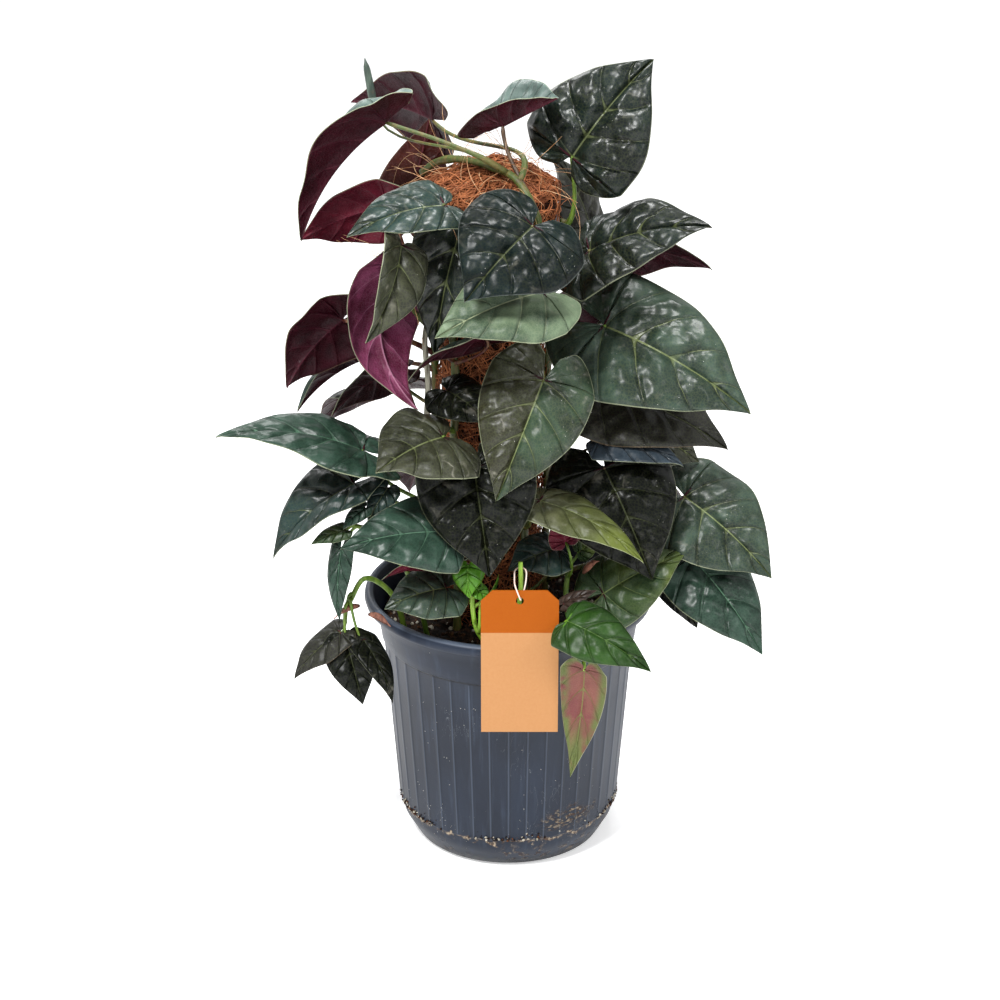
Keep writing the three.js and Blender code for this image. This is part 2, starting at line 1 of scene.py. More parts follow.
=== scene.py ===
"""A potted red arrow syngonium: a climbing aroid on a coir pole in a slate nursery pot, with a plant
tag. Tables and profiles are in millimetres; meshes, finishes and lamps are in metres."""
import math
import random

import bmesh
import bpy
from mathutils import Matrix, Vector, noise


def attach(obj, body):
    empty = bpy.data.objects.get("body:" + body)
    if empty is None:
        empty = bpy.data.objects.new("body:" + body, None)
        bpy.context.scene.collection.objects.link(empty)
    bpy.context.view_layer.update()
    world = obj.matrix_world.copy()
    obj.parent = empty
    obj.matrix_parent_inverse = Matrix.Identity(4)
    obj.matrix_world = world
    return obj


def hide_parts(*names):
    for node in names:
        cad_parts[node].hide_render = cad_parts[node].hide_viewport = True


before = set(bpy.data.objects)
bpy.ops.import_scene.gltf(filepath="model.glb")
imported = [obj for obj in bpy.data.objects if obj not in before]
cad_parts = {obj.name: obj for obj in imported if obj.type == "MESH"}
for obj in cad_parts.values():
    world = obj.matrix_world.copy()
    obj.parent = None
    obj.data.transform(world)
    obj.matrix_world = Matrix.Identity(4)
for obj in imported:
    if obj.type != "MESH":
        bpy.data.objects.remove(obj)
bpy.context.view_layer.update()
MM = 0.001


# Camera, lights and floor

# The photograph's viewpoint: the lens, where it stands, and its turn up from straight down
LENS, SENSOR, EYE, TILT = 83.2, 36, (-0.007, -1.753, 1.025), math.radians(67.5)
# Each lamp's place, breadth and power; all face the middle of the plant
LAMPS = {
    "key": ((-0.55, -1.1, 1.9), 0.42, 46),
    "fill": ((1.5, -1.2, 1.3), 0.6, 8),
    "top": ((0.25, 0.3, 2.1), 0.5, 32),
    "back": ((-0.6, 1.6, 1.3), 0.8, 8),
}
PLANT_MIDDLE = Vector((0, 0, 0.35))
SKY_COLOUR, SKY_STRENGTH = (0.98, 0.985, 1, 1), 0.66
FLOOR_SIZE = 20


def linked(name, data):
    """A new object of the scene, at the origin."""
    made = bpy.data.objects.new(name, data)
    bpy.context.collection.objects.link(made)
    return made


def make_camera():
    lens = bpy.data.cameras.new("camera")
    lens.lens, lens.sensor_width = LENS, SENSOR
    camera = linked("camera", lens)
    camera.location = EYE
    camera.rotation_euler = (TILT, 0, 0)
    bpy.context.scene.camera = camera


def make_lamp(name, place, size, power):
    lamp = bpy.data.lights.new(name, "AREA")
    lamp.shape, lamp.size, lamp.energy = "DISK", size, power
    light = linked(name, lamp)
    light.location = place
    light.rotation_euler = (PLANT_MIDDLE - Vector(place)).to_track_quat("-Z", "Y").to_euler()


def make_surroundings():
    bpy.context.scene.view_settings.view_transform = "Standard"
    world = bpy.data.worlds.new("studio")
    bpy.context.scene.world = world
    world.use_nodes = True
    sky = world.node_tree.nodes["Background"]
    sky.inputs["Color"].default_value = SKY_COLOUR
    sky.inputs["Strength"].default_value = SKY_STRENGTH
    for name, (place, size, power) in LAMPS.items():
        make_lamp(name, place, size, power)
    bm = bmesh.new()
    bmesh.ops.create_grid(bm, x_segments=1, y_segments=1, size=FLOOR_SIZE)
    floor = put("floor", bm, [floor_paint()])


# Materials

def tint(code, level=1):
    """A colour from its hex code, in linear light, dimmed to a level."""
    parts = [int(code[i:i + 2], 16) / 255 for i in (1, 3, 5)]
    return (*(level * (c / 12.92 if c <= 0.04045 else ((c + 0.055) / 1.055) ** 2.4) for c in parts), 1)


class Shade:
    """A value that varies over a material, written as a number is."""

    def __init__(self, paint, socket):
        self.paint, self.socket = paint, socket

    def maths(self, operation, *values):
        return self.paint.node("ShaderNodeMath", {"operation": operation}, enumerate(values))

    def __add__(self, other):
        return self.maths("ADD", self, other)

    def __sub__(self, other):
        return self.maths("SUBTRACT", self, other)

    def __rsub__(self, other):
        return self.maths("SUBTRACT", other, self)

    def __mul__(self, other):
        return self.maths("MULTIPLY", self, other)

    def __truediv__(self, other):
        return self.maths("DIVIDE", self, other)

    def __rtruediv__(self, other):
        return self.maths("DIVIDE", other, self)

    def __pow__(self, other):
        return self.maths("POWER", self, other)

    def __abs__(self):
        return self.maths("ABSOLUTE", self)

    __radd__, __rmul__ = __add__, __mul__

    def bearing(self, other):
        """The angle round Z of a point whose Y is this value and whose X is the other."""
        return self.maths("ARCTAN2", self, other)

    def fraction(self):
        return self.maths("FRACT", self)

    def least(self, other):
        return self.maths("MINIMUM", self, other)

    def most(self, other):
        return self.maths("MAXIMUM", self, other)

    def between(self, low, high):
        """A smooth step from 0 at low to 1 at high."""
        settings = {"interpolation_type": "SMOOTHSTEP"}
        return self.paint.node("ShaderNodeMapRange", settings, {0: self, 1: low, 2: high})

    def under(self, low, high):
        return 1 - self.between(low, high)


class Paint:
    """A material built round its one shader."""

    def __init__(self, name, roughness=0.5, **levels):
        self.material = bpy.data.materials.new(name)
        self.material.use_nodes = True
        self.tree = self.material.node_tree
        self.shader = self.tree.nodes["Principled BSDF"]
        self.finish(roughness=roughness, **levels)

    def node(self, kind, settings=None, values=(), out=0):
        made = self.tree.nodes.new(kind)
        for key, value in (settings or {}).items():
            setattr(made, key, value)
        for key, value in dict(values).items():
            self.feed(made.inputs[key], value)
        return Shade(self, made.outputs[out])

    def feed(self, socket, value):
        if isinstance(value, Shade):
            self.tree.links.new(value.socket, socket)
        else:
            socket.default_value = value

    def finish(self, **levels):
        for key, value in levels.items():
            self.feed(self.shader.inputs[key.replace("_", " ").title().replace("Ior", "IOR")], value)
        return self.material

    def place(self):
        return self.node("ShaderNodeTexCoord", out="Object")

    def unwrapped(self):
        return self.node("ShaderNodeUVMap", {"uv_map": "UVMap"})

    def stretched(self, *scale):
        return self.node("ShaderNodeMapping", {}, {"Vector": self.place(), "Scale": scale})

    def cloud(self, scale, detail=3, at=None, twist=0):
        values = {"Vector": at or self.place(), "Scale": scale, "Detail": detail,
                  "Roughness": 0.55, "Distortion": twist}
        return self.node("ShaderNodeTexNoise", {}, values)

    def cells(self, scale, feature="F1", at=None):
        values = {"Vector": at or self.place(), "Scale": scale}
        return self.node("ShaderNodeTexVoronoi", {"feature": feature}, values)

    def mix(self, first, second, share):
        return self.node("ShaderNodeMix", {"data_type": "RGBA"}, {0: share, 6: first, 7: second}, 2)

    def relief(self, height, depth):
        return self.node("ShaderNodeBump", {}, {"Height": height, "Distance": depth, "Strength": 1})

    def split(self, vector, axis):
        return self.node("ShaderNodeSeparateXYZ", {}, {0: vector}, axis)


def floor_paint():
    paint = Paint("floor_white", roughness=0.9, emission_color=(1, 1, 1, 1), emission_strength=0.45)
    return paint.finish(base_color=paint.mix(tint("#f6f6f6"), tint("#efefef"), paint.cloud(3)))


# Side veins meet the outline at every whole turn of it. They sweep towards the tip by this share of
# their spacing on their way to the margin, and fade out along the lobes
VEIN_SWEEP, VEIN_BOW, LOBE_FADE = 0.38, 1.7, (4.6, 6.2)
# The rows of a blade's mesh lie closer along its midrib than at its margin
RIB_EASE = 1.4
# The outline's turns from the tip round to the notch
TURNS = 8


def blade_axes(paint):
    """How far round the outline from tip to notch, and how far from midrib to margin."""
    uv = paint.unwrapped()
    turn = (1 - paint.split(uv, 0)) * TURNS
    away = abs(paint.split(uv, 1) * 2 - 1) ** RIB_EASE
    return turn, away


def vein_masks(paint):
    """The outline's axes, then 0 to 1 for the side veins, the hollows along them and the midrib."""
    turn, away = blade_axes(paint)
    phase = turn + away ** VEIN_BOW * VEIN_SWEEP
    apart = (0.5 - abs(phase.fraction() - 0.5)) * (away + 0.07)
    lobes = turn.under(*LOBE_FADE)
    lateral = apart.under(0.004, 0.011) * away.under(0.8, 0.97) * (lobes * 0.8 + 0.2)
    hollow = apart.under(0.0, 0.08) * lobes
    rib = (away * (turn / 3).least(1)).under(0.006, 0.017)
    return turn, away, lateral, hollow, rib


def leaf_top(name, deep, light, vein="#8f9a63", dust=0.3, gloss=0.27, veins=0.5, edge="#aab08e",
             tip=None, half=None, own=0.3, shine=0.3):
    """A blade's upper side. own is the share of its seen colour that isn't the light on its skin."""
    paint = Paint(name, specular_ior_level=shine)
    turn, away, lateral, hollow, rib = vein_masks(paint)
    clouds = paint.cloud(34, 4, twist=0.4)
    net = paint.cells(420, "DISTANCE_TO_EDGE").under(0.0, 0.16)
    # Painted light: the swellings between the veins are painted lighter and the hollows along them
    # darker, on top of the random mottle
    mottle_and_ridge_light = clouds.between(0.34, 0.7) * 0.8 + (1 - hollow) * 0.2
    body = paint.mix(tint(deep, own), tint(light, own), mottle_and_ridge_light)
    if tip:
        near_tip = turn.under(0.6, 4.2) * paint.cloud(22, 2).between(0.3, 0.6) * 0.8
        body = paint.mix(body, tint(tip, own), near_tip)
    if half:
        one_half = paint.split(paint.unwrapped(), 1).under(0.49, 0.51) * 0.85
        body = paint.mix(body, tint(half, own), one_half)
    body = paint.mix(body, tint(vein, own), net * 0.12)
    broken = paint.cloud(48, 3).between(0.3, 0.6)
    lines = (lateral * broken * veins * 0.7).most(rib * veins)
    body = paint.mix(body, tint(vein, own * 1.5), lines)
    body = paint.mix(body, tint(edge, own * 1.8), away.between(0.98, 0.993) * 0.5)
    smear = paint.cloud(95, 6, twist=0.8).between(0.56, 0.76) * paint.cloud(16, 2).between(0.44, 0.66)
    speck = paint.cells(310).under(0.04, 0.1) * paint.cloud(30, 3).between(0.53, 0.64)
    body = paint.mix(body, tint("#a9a596", 0.8), smear * dust)
    body = paint.mix(body, tint("#e9e7dd"), speck * min(1, dust * 2.2))
    rough = gloss + clouds * 0.14 + smear * 0.3 * dust + speck * 0.3
    height = ((1 - hollow) * 0.3 - lateral * 0.2
              + paint.cloud(58, 1) * 2.4 + paint.cloud(130, 1) * 0.12)
    return paint.finish(base_color=body, roughness=rough, normal=paint.relief(height, 0.0034))


def leaf_under(name, deep, light, vein="#7d3a4a", veins=0.35, own=0.75, rim=None):
    paint = Paint(name, specular_ior_level=0.16)
    turn, away, lateral, hollow, rib = vein_masks(paint)
    clouds = paint.cloud(38, 4, twist=0.5)
    net = paint.cells(420, "DISTANCE_TO_EDGE").under(0.0, 0.14)
    # Painted light: the band along the veins, which the bump raises on this side, is painted lighter,
    # on top of the random mottle
    mottle_and_ridge_light = clouds.between(0.3, 0.75) * 0.7 + hollow * 0.15
    body = paint.mix(tint(deep, own), tint(light, own), mottle_and_ridge_light)
    lines = (lateral * veins * 0.8).most(rib * veins) + net * 0.08
    body = paint.mix(body, tint(vein, own), lines)
    if rim:
        margin = away.between(0.5, 0.9).most(turn.under(0.8, 2.2)) * clouds.between(0.3, 0.5)
        body = paint.mix(body, tint(rim, own), margin)
    body = paint.mix(body, tint("#a08a72", 0.8), away.between(0.975, 0.99) * 0.5)
    speck = paint.cells(300).under(0.04, 0.09) * paint.cloud(30, 3).between(0.55, 0.7)
    body = paint.mix(body, tint("#c9b3ac"), speck * 0.6)
    rough = 0.34 + clouds * 0.14
    height = lateral * 0.4 + net * 0.1 + paint.cloud(85, 3) * 0.9 + hollow * 0.4
    return paint.finish(base_color=body, roughness=rough, normal=paint.relief(height, 0.0016))


def stalk_paint(name, fresh, worn, gloss=0.38):
    paint = Paint(name, specular_ior_level=0.45)
    streak = paint.cloud(26, 4, at=paint.stretched(9, 9, 1.5))
    body = paint.mix(tint(fresh), tint(worn), streak.between(0.42, 0.62))
    body = paint.mix(body, tint("#4a3423"), paint.cloud(120, 4).between(0.6, 0.75) * 0.6)
    height = paint.cloud(180, 4, at=paint.stretched(5, 5, 0.7))
    rough = gloss + streak * 0.2
    return paint.finish(base_color=body, roughness=rough, normal=paint.relief(height, 0.0005))


def fibre_paint(name, light, dark):
    paint = Paint(name, specular_ior_level=0.25)
    grain = paint.cloud(130, 4)
    body = paint.mix(tint(dark), tint(light), grain.between(0.32, 0.62))
    return paint.finish(base_color=body, roughness=0.62 + grain * 0.25)


def coir_paint():
    paint = Paint("coir_mat_dark_shade", specular_ior_level=0.15, roughness=0.95)
    tangle = paint.cloud(190, 6, twist=2.5)
    # Painted shade: the coir mat is darkened nearly to black to stand for the shade in the gaps between
    # the fibres
    body = paint.mix(tint("#0c0402"), tint("#3a1a0c"), tangle.between(0.4, 0.66))
    return paint.finish(base_color=body, normal=paint.relief(tangle, 0.003))


def soil_paint(name="soil_dark", dark="#120c08", light="#3d291a"):
    paint = Paint(name, specular_ior_level=0.25)
    grain = paint.cloud(210, 6)
    body = paint.mix(tint(dark), tint(light), grain.between(0.42, 0.68))
    speck = paint.cells(330).under(0.03, 0.07) * paint.cloud(70).between(0.5, 0.6)
    body = paint.mix(body, tint("#cfc6b4"), speck)
    rough = 0.8 + grain * 0.15
    return paint.finish(base_color=body, roughness=rough, normal=paint.relief(grain, 0.002))


# The ribs round the pot's wall, and where their painted highlight and shade fade in at the step and out
# at the collar
RIBS, RIBS_START, RIBS_END = 40, (0.031, 0.034), (0.178, 0.181)
# Heights of the painted shadow line under the collar, of the painted highlight line along the lip, and
# of the scum line
COLLAR_SHADOW_LINE, LIP_HIGHLIGHT_LINE, SCUM_LINE = 0.1802, 0.2212, 0.0395
# The middle of the dried smear at the front right, on heights that are stretched
SMEAR_STRETCH, SMEAR_SPOT = 2.6, (0.052, -0.082, 0.122)


def pot_paint():
    paint = Paint("pot_slate", specular_ior_level=0.3)
    east, north, height = (paint.split(paint.place(), axis) for axis in range(3))
    worn = paint.cloud(9, 5, twist=0.6)
    body = paint.mix(tint("#0e1624"), tint("#182232"), worn.between(0.3, 0.7))
    streaks = paint.cloud(30, 4, at=paint.stretched(6, 6, 0.35)).between(0.5, 0.74)
    body = paint.mix(body, tint("#455062"), streaks * 0.22)
    turn = (north.bearing(east) * (RIBS / (2 * math.pi)) + RIBS).fraction()
    apart = turn.least(1 - turn)
    wall = height.between(*RIBS_START) * height.under(*RIBS_END)
    # Painted highlight: a lighter line along each rib; painted shade: a darker band on either side of
    # it
    rib_side_shade = apart.between(0.045, 0.07) * apart.under(0.07, 0.14)
    body = paint.mix(body, tint("#566172"), apart.under(0.02, 0.055) * wall * 0.3)
    body = paint.mix(body, tint("#0c1017"), rib_side_shade * wall * 0.45)
    # Painted shadow: a dark line under the collar's step
    body = paint.mix(body, tint("#0b0e14"), abs(height - COLLAR_SHADOW_LINE).under(0.0004, 0.0016) * 0.7)
    # Painted highlight: a light line along the top of the lip
    body = paint.mix(body, tint("#5f6a7a"), abs(height - LIP_HIGHLIGHT_LINE).under(0.0004, 0.0016) * 0.5)
    scratch = paint.cloud(60, 2, at=paint.stretched(1.4, 1.4, 0.22), twist=1.5)
    scratch = abs(scratch - 0.5).under(0.0, 0.0025) * paint.cloud(14, 2).between(0.54, 0.64)
    body = paint.mix(body, tint("#9aa0a6"), scratch * 0.35)
    speck = paint.cells(210).under(0.05, 0.1) * paint.cloud(26, 3).between(0.54, 0.6)
    body = paint.mix(body, tint("#c9c8c2"), speck * 0.8)
    ragged = paint.cloud(95, 5) * 0.02
    scum = abs(height + ragged - SCUM_LINE).under(0.0004, 0.0024)
    scum = scum * paint.cloud(120, 4).between(0.4, 0.56)
    low = (height + ragged * 2.2 - 0.02).under(0.006, 0.034)
    mud = low * paint.cloud(130, 5).between(0.5, 0.62) * paint.cloud(18, 2).between(0.36, 0.6)
    smear = paint.node("ShaderNodeVectorMath", {"operation": "DISTANCE"},
                       {0: paint.stretched(1, 1, SMEAR_STRETCH), 1: SMEAR_SPOT}, "Value")
    smear = (smear + paint.cloud(70, 4) * 0.05 - 0.025).under(0.01, 0.034)
    smear = smear * paint.cloud(210, 6, at=paint.stretched(1, 1, 2.2)).between(0.47, 0.56)
    earth = paint.mix(tint("#4a3626"), tint("#a8977f"), paint.cloud(330, 3).between(0.45, 0.62))
    body = paint.mix(body, earth, scum.most(mud * 0.6).most(smear * 0.65))
    flecks = paint.cells(420).under(0.05, 0.1) * height.under(0.03, 0.075)
    flecks = flecks * paint.cloud(60, 3).between(0.5, 0.58)
    body = paint.mix(body, tint("#cfcabd"), flecks * 0.9)
    body = paint.mix(body, tint("#15171a"), (height + ragged * 0.3).under(0.008, 0.016) * 0.7)
    dirt = mud.most(smear).most(speck)
    rough = 0.4 + worn * 0.12 + dirt * 0.35 + streaks * 0.08
    bump = paint.relief(dirt * 0.7 + paint.cloud(300, 2) * 0.06, 0.0012)
    return paint.finish(base_color=body, roughness=rough, normal=bump)


# Where the tag's upper band ends
TAG_BAND = (0.2363, 0.2366)


def tag_paint():
    paint = Paint("tag_card", specular_ior_level=0.12)
    height = paint.split(paint.place(), 2)
    grain = paint.cloud(420, 4)
    rest = paint.mix(tint("#dc9c64", 0.56), tint("#e6aa72", 0.56), grain)
    band = paint.mix(tint("#c45e04", 0.55), tint("#cc6a06", 0.55), grain)
    body = paint.mix(rest, band, height.between(*TAG_BAND))
    rough = 0.5 + grain * 0.1
    return paint.finish(base_color=body, roughness=rough, normal=paint.relief(grain, 0.0001))


def loop_paint():
    paint = Paint("loop_thread", roughness=0.4, specular_ior_level=0.4)
    body = paint.mix(tint("#ead6cb"), tint("#d9b3a4"), paint.cloud(160, 3).between(0.4, 0.65))
    return paint.finish(base_color=body)


def wood_paint():
    paint = Paint("stake_wood", roughness=0.8, specular_ior_level=0.2)
    grain = paint.cloud(30, 5, at=paint.stretched(14, 14, 0.8))
    body = paint.mix(tint("#8d8a7c"), tint("#4d483c"), grain.between(0.4, 0.62))
    return paint.finish(base_color=body, normal=paint.relief(grain, 0.0015))


# Blade finishes: what shows above, and what shows below
TOPS = {
    "night": leaf_top("leaf_night", "#060d0c", "#1c2c2a", dust=0.2, own=0.42),
    "black": leaf_top("leaf_black", "#080c0b", "#1c211f", gloss=0.26, veins=0.25, own=0.24,
                      shine=0.14),
    "teal": leaf_top("leaf_teal", "#10211f", "#35504d", dust=0.22, own=0.45),
    "slate": leaf_top("leaf_slate", "#122022", "#2c4243", edge="#a9b4ad", own=0.2, shine=0.15),
    "grey": leaf_top("leaf_grey", "#18261f", "#485e50", gloss=0.31, dust=0.38, own=0.6),
    "olive": leaf_top("leaf_olive", "#1e2016", "#4a4c3b", gloss=0.38, dust=0.6, own=0.6),
    "brown": leaf_top("leaf_brown", "#1b1a15", "#36342f", gloss=0.4, dust=0.25, veins=0.25,
                      edge="#7d6a50", own=0.45),
    "pale": leaf_top("leaf_pale", "#394e3c", "#74886a", vein="#b3bb94", gloss=0.42, own=0.75),
    "centre": leaf_top("leaf_centre", "#1e261b", "#3f5641", gloss=0.33, dust=0.5, half="#33301f",
                       own=0.6),
    "mist": leaf_top("leaf_mist", "#40544f", "#768b84", vein="#a9b8a4", gloss=0.34, dust=0.15,
                     own=0.6),
    "blue": leaf_top("leaf_blue", "#1c2831", "#52616d", vein="#7d8890", gloss=0.28, dust=0.2,
                     own=0.5),
    "fresh": leaf_top("leaf_fresh", "#15291f", "#3b5648", vein="#6f9a7c", gloss=0.3, dust=0.1,
                      veins=0.45, own=0.6),
    "green": leaf_top("leaf_green", "#203a1c", "#40573a", vein="#90a060", gloss=0.35, dust=0.15,
                      tip="#7d8a2c", own=0.65),
    "narrow": leaf_top("leaf_narrow", "#262a19", "#5d5f42", gloss=0.38, tip="#77862c", own=0.65),
    "bright": leaf_top("leaf_bright", "#1d3f10", "#3b6a22", vein="#7a9f50", gloss=0.34, dust=0.05,
                       veins=0.4, own=0.4, shine=0.24),
    "lime": leaf_top("leaf_lime", "#41800f", "#62a022", vein="#9ac860", gloss=0.32, dust=0.0,
                     edge="#7cb32b", own=0.6),
    "rosy": leaf_top("leaf_rosy", "#4a3a30", "#7d5f50", vein="#9a7a68", gloss=0.4, dust=0.1),
}
UNDERS = {
    "burgundy": leaf_under("under_burgundy", "#2c0510", "#541026", own=0.5),
    "dark": leaf_under("under_dark", "#1d060b", "#3a0f19", own=0.6),
    "red": leaf_under("under_red", "#4a0f1e", "#7a2436"),
    "magenta": leaf_under("under_magenta", "#4a1228", "#94486c", vein="#c08aa2", veins=0.5,
                          own=0.85),
    "brownred": leaf_under("under_brownred", "#35140f", "#5e2c22"),
    "pinkish": leaf_under("under_pinkish", "#8a4c4e", "#a06c5c", vein="#86904e", veins=0.8,
                          rim="#74804a", own=0.6),
    "leafgreen": leaf_under("under_leafgreen", "#4b7a22", "#7aa83c", vein="#9ac35c"),
}
STALKS = {
    "green": stalk_paint("stalk_green", "#4a661a", "#66802a"),
    "olive": stalk_paint("stalk_olive", "#404e1c", "#5c5428"),
    "brown": stalk_paint("stalk_brown", "#3a2a1c", "#5a4430"),
    "red": stalk_paint("stalk_red", "#4a1c18", "#6a4a2a"),
    "lime": stalk_paint("stalk_lime", "#79a22c", "#93b544"),
}


# Mesh helpers

# Points closer than this, in metres, are one point
WELD = 1e-6


def put(name, bm, paints, slot=None, nodes=()):
    """Makes a mesh an object of the scene; with a slot, a piece of the plant."""
    mesh = bpy.data.meshes.new(name)
    bm.to_mesh(mesh)
    bm.free()
    mesh.shade_smooth()
    for paint in paints:
        mesh.materials.append(paint)
    piece = linked(name, mesh)
    if slot:
        dress(piece, nodes)
    return piece


def dress(piece, nodes):
    """Lets a piece ride on the plant's one body, in the place of the solids that it replaces."""
    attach(piece, "root")
    if nodes:
        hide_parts(*nodes)


def repaint(node, paint):
    """Gives a solid of the frame a finish of its own."""
    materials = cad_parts[node].data.materials
    materials.clear()
    materials.append(paint)


def metres(point):
    return Vector(point) * MM


def mixed(a, b, share):
    return a + (b - a) * share


def eased(value, low, high):
    share = min(1, max(0, (value - low) / (high - low)))
    return share * share * (3 - 2 * share)


def curve_through(points, steps):
    """Points spaced along a centripetal spline through the given ones."""
    points = [Vector(p) for p in points]
    ends = [2 * points[0] - points[1], *points, 2 * points[-1] - points[-2]]
    line = []
    for i in range(1, len(ends) - 2):
        knots = [0]
        for a, b in zip(ends[i - 1:i + 2], ends[i:i + 3]):
            knots.append(knots[-1] + max(WELD, (b - a).length) ** 0.5)
        for k in range(steps + (i == len(ends) - 3)):
            at = mixed(knots[1], knots[2], k / steps)
            level = ends[i - 1:i + 3]
            for width in (1, 2):
                level = [
                    level[j] * ((knots[j + width] - at) / (knots[j + width] - knots[j]))
                    + level[j + 1] * ((at - knots[j]) / (knots[j + width] - knots[j]))
                    for j in range(len(level) - 1)
                ]
            share = (at - knots[1]) / (knots[2] - knots[1])
            line.append(level[0].lerp(level[1], share))
    return line


def tube(bm, line, radius, sides=8, index=0):
    """A closed round tube along a line; radius(share) is its radius in metres."""
    steps = len(line) - 1
    made = bmesh.ops.create_grid(bm, x_segments=steps, y_segments=sides, size=1)["verts"]
    sideways = (line[1] - line[0]).orthogonal().normalized()
    rings = []
    for i, point in enumerate(line):
        ahead = (line[min(i + 1, steps)] - line[max(i - 1, 0)]).normalized()
        sideways = (sideways - ahead * sideways.dot(ahead)).normalized()
        rings.append((point, sideways, ahead.cross(sideways)))
    for vert in made:
        i = round((vert.co.x + 1) / 2 * steps)
        turn = -math.pi * vert.co.y
        point, east, north = rings[i]
        reach = radius(i / steps)
        vert.co = point + (east * math.cos(turn) + north * math.sin(turn)) * reach
    faces = {face for vert in made for face in vert.link_faces}
    bmesh.ops.remove_doubles(bm, verts=made, dist=WELD)
    faces = [face for face in faces if face.is_valid]
    rims = {edge for face in faces for edge in face.edges if edge.is_boundary}
    faces += bmesh.ops.holes_fill(bm, edges=list(rims), sides=0)["faces"]
    for face in faces:
        face.material_index = index
    bmesh.ops.recalc_face_normals(bm, faces=faces)


# Stems

# The pole stands a little left of the pot's middle; its sleeve's heights and radii
POLE_X = -14
SLEEVE = [
    (150, 37), (206, 37), (216, 38), (280, 39), (356, 39.5), (430, 39.5),
    (497, 41), (526, 45), (545, 51), (557, 54), (565, 50), (571, 36), (574, 16),
]
STEM_RADIUS, STEM_STANDOFF = 3.4, 6
# The heights of a stem's points on its way up the sleeve, from its foot in the soil
CLIMB = (168, 206, 255, 305, 355, 405, 455, 500)
# It keeps off the sleeve as that is a little higher up, between its even foot and its widest place
LOOK_AHEAD, EVEN_FOOT, WIDEST = 12, 218, 557
# Each stem's bearing round the pole, its top there, and its way on over the pole
STEMS = {
    "right": (2, 535, []),
    "front_right": (-55, 545, [
        (18, -53, 560), (5, -40, 579), (-14, -22, 584), (-38, -2, 585), (-58, 14, 578), (-68, 22, 568),
    ]),
    "front_left": (-130, 563, []),
    "left": (176, 520, []),
    "back_left": (118, 545, []),
    "back_right": (58, 530, []),
}
# Each young shoot's radius and its stalks
SHOOTS = {
    "shoot_right": (2.6, [
        [(52, -72, 172), (52, -72, 205), (54, -75, 238)],
        [(52, -72, 176), (52, -72, 205), (46, -60, 240), (50, -54, 272)],
    ]),
    "shoot_front": (2.3, [
        [(-14, -92, 172), (-14, -92, 204), (-26, -95, 228), (-30, -97, 266)],
        [(-14, -92, 176), (-14, -92, 204), (2, -103, 225), (9, -105, 262), (9, -105, 290)],
    ]),
    "shoot_left": (2.6, [
        [(-86, -44, 172), (-86, -44, 206), (-96, -52, 240), (-116, -66, 258), (-128, -74, 240)],
    ]),
    "shoot_side": (2.4, [
        [(-66, -66, 172), (-66, -66, 206), (-76, -68, 250), (-98, -66, 296), (-122, -70, 306)],
    ]),
}


def sleeve_radius(z):
    for (z0, r0), (z1, r1) in zip(SLEEVE, SLEEVE[1:]):
        if z <= z1:
            return mixed(r0, r1, max(0, (z - z0) / (z1 - z0)))
    return SLEEVE[-1][1]


def climb(angle, top, over):
    """A stem's points: up the sleeve, swaying a little, and over the pole's top."""
    points = []
    for z in (*CLIMB, top):
        reach = sleeve_radius(min(WIDEST, max(EVEN_FOOT, z + LOOK_AHEAD))) + STEM_STANDOFF
        sway = 0.05 * math.sin(z * 0.045 + angle) if z > 210 else 0
        turn = math.radians(angle) + sway
        points.append((POLE_X + reach * math.cos(turn), reach * math.sin(turn), z))
    return [*points, *over]


LINES = {name: [curve_through(climb(*stem), 6)] for name, stem in STEMS.items()}
for name, (_, stalks) in SHOOTS.items():
    LINES[name] = [curve_through(points, 6) for points in stalks]


def at_height(name, z):
    line = LINES[name][0]
    for a, b in zip(line, line[1:]):
        if b.z >= z:
            return a.lerp(b, (z - a.z) / (b.z - a.z))
    return line[-1]


def stem_tube(bm, name, index):
    """A stem with a swelling at each of its joints, thinner towards its top."""
    radius, joints = (SHOOTS[name][0], 0.5) if name in SHOOTS else (STEM_RADIUS, 9)

    def swell(s):
        return MM * radius * (0.92 + 0.2 * abs(math.cos(math.pi * joints * s)) ** 14 - 0.12 * s)

    for line in LINES[name]:
        tube(bm, [p * MM for p in line], swell, 10, index)


# Leaves

# A blade's thickness in millimetres; how far its margins curl down and wave, against its width; how
# deep the quilting between its veins is, and how far its margin flutters
THICKNESS, CURL, WAVE, QUILT, FLUTTER = 0.5, 0.14, 0.035, 0.026, 0.035
# The mesh's cells round the outline and across it
GRID, SMALL_GRID = (64, 28), (32, 14)
# Half a blade's outline from its tip round to the notch: along, across, and the place on the
# midrib that the side vein there leaves from
OUTLINE = [Vector(p) for p in (
    (1, 0, 1), (0.83, 0.135, 0.72), (0.62, 0.315, 0.44), (0.37, 0.46, 0.19), (0.1, 0.5, 0),
    (-0.3, 0.45, 0), (-0.78, 0.33, 0), (-1, 0.2, 0), (-0.72, 0.07, 0),
)]


def outline_at(turn):
    """A point of a smooth curve through the outline's points."""
    i = min(TURNS - 1, int(turn))
    s = turn - i
    b, c = OUTLINE[i], OUTLINE[i + 1]
    a = OUTLINE[i - 1] if i else 2 * b - c
    d = OUTLINE[i + 2] if i < TURNS - 1 else 2 * c - b
    square, cube = 2 * a - 5 * b + 4 * c - d, 3 * b - a - 3 * c + d
    return (b * 2 + (c - a) * s + square * s * s + cube * s ** 3) / 2


# How far a blade arches along its length, its fold along the midrib in radians, how far its lobes
# reach back past its base, its quilting, how broad its two halves are, and whether it is a small one
USUAL_SHAPE = {"bend": 0.09, "fold": 0.12, "lobe": 0.28, "quilt": 1, "halves": (1, 1), "small": False}


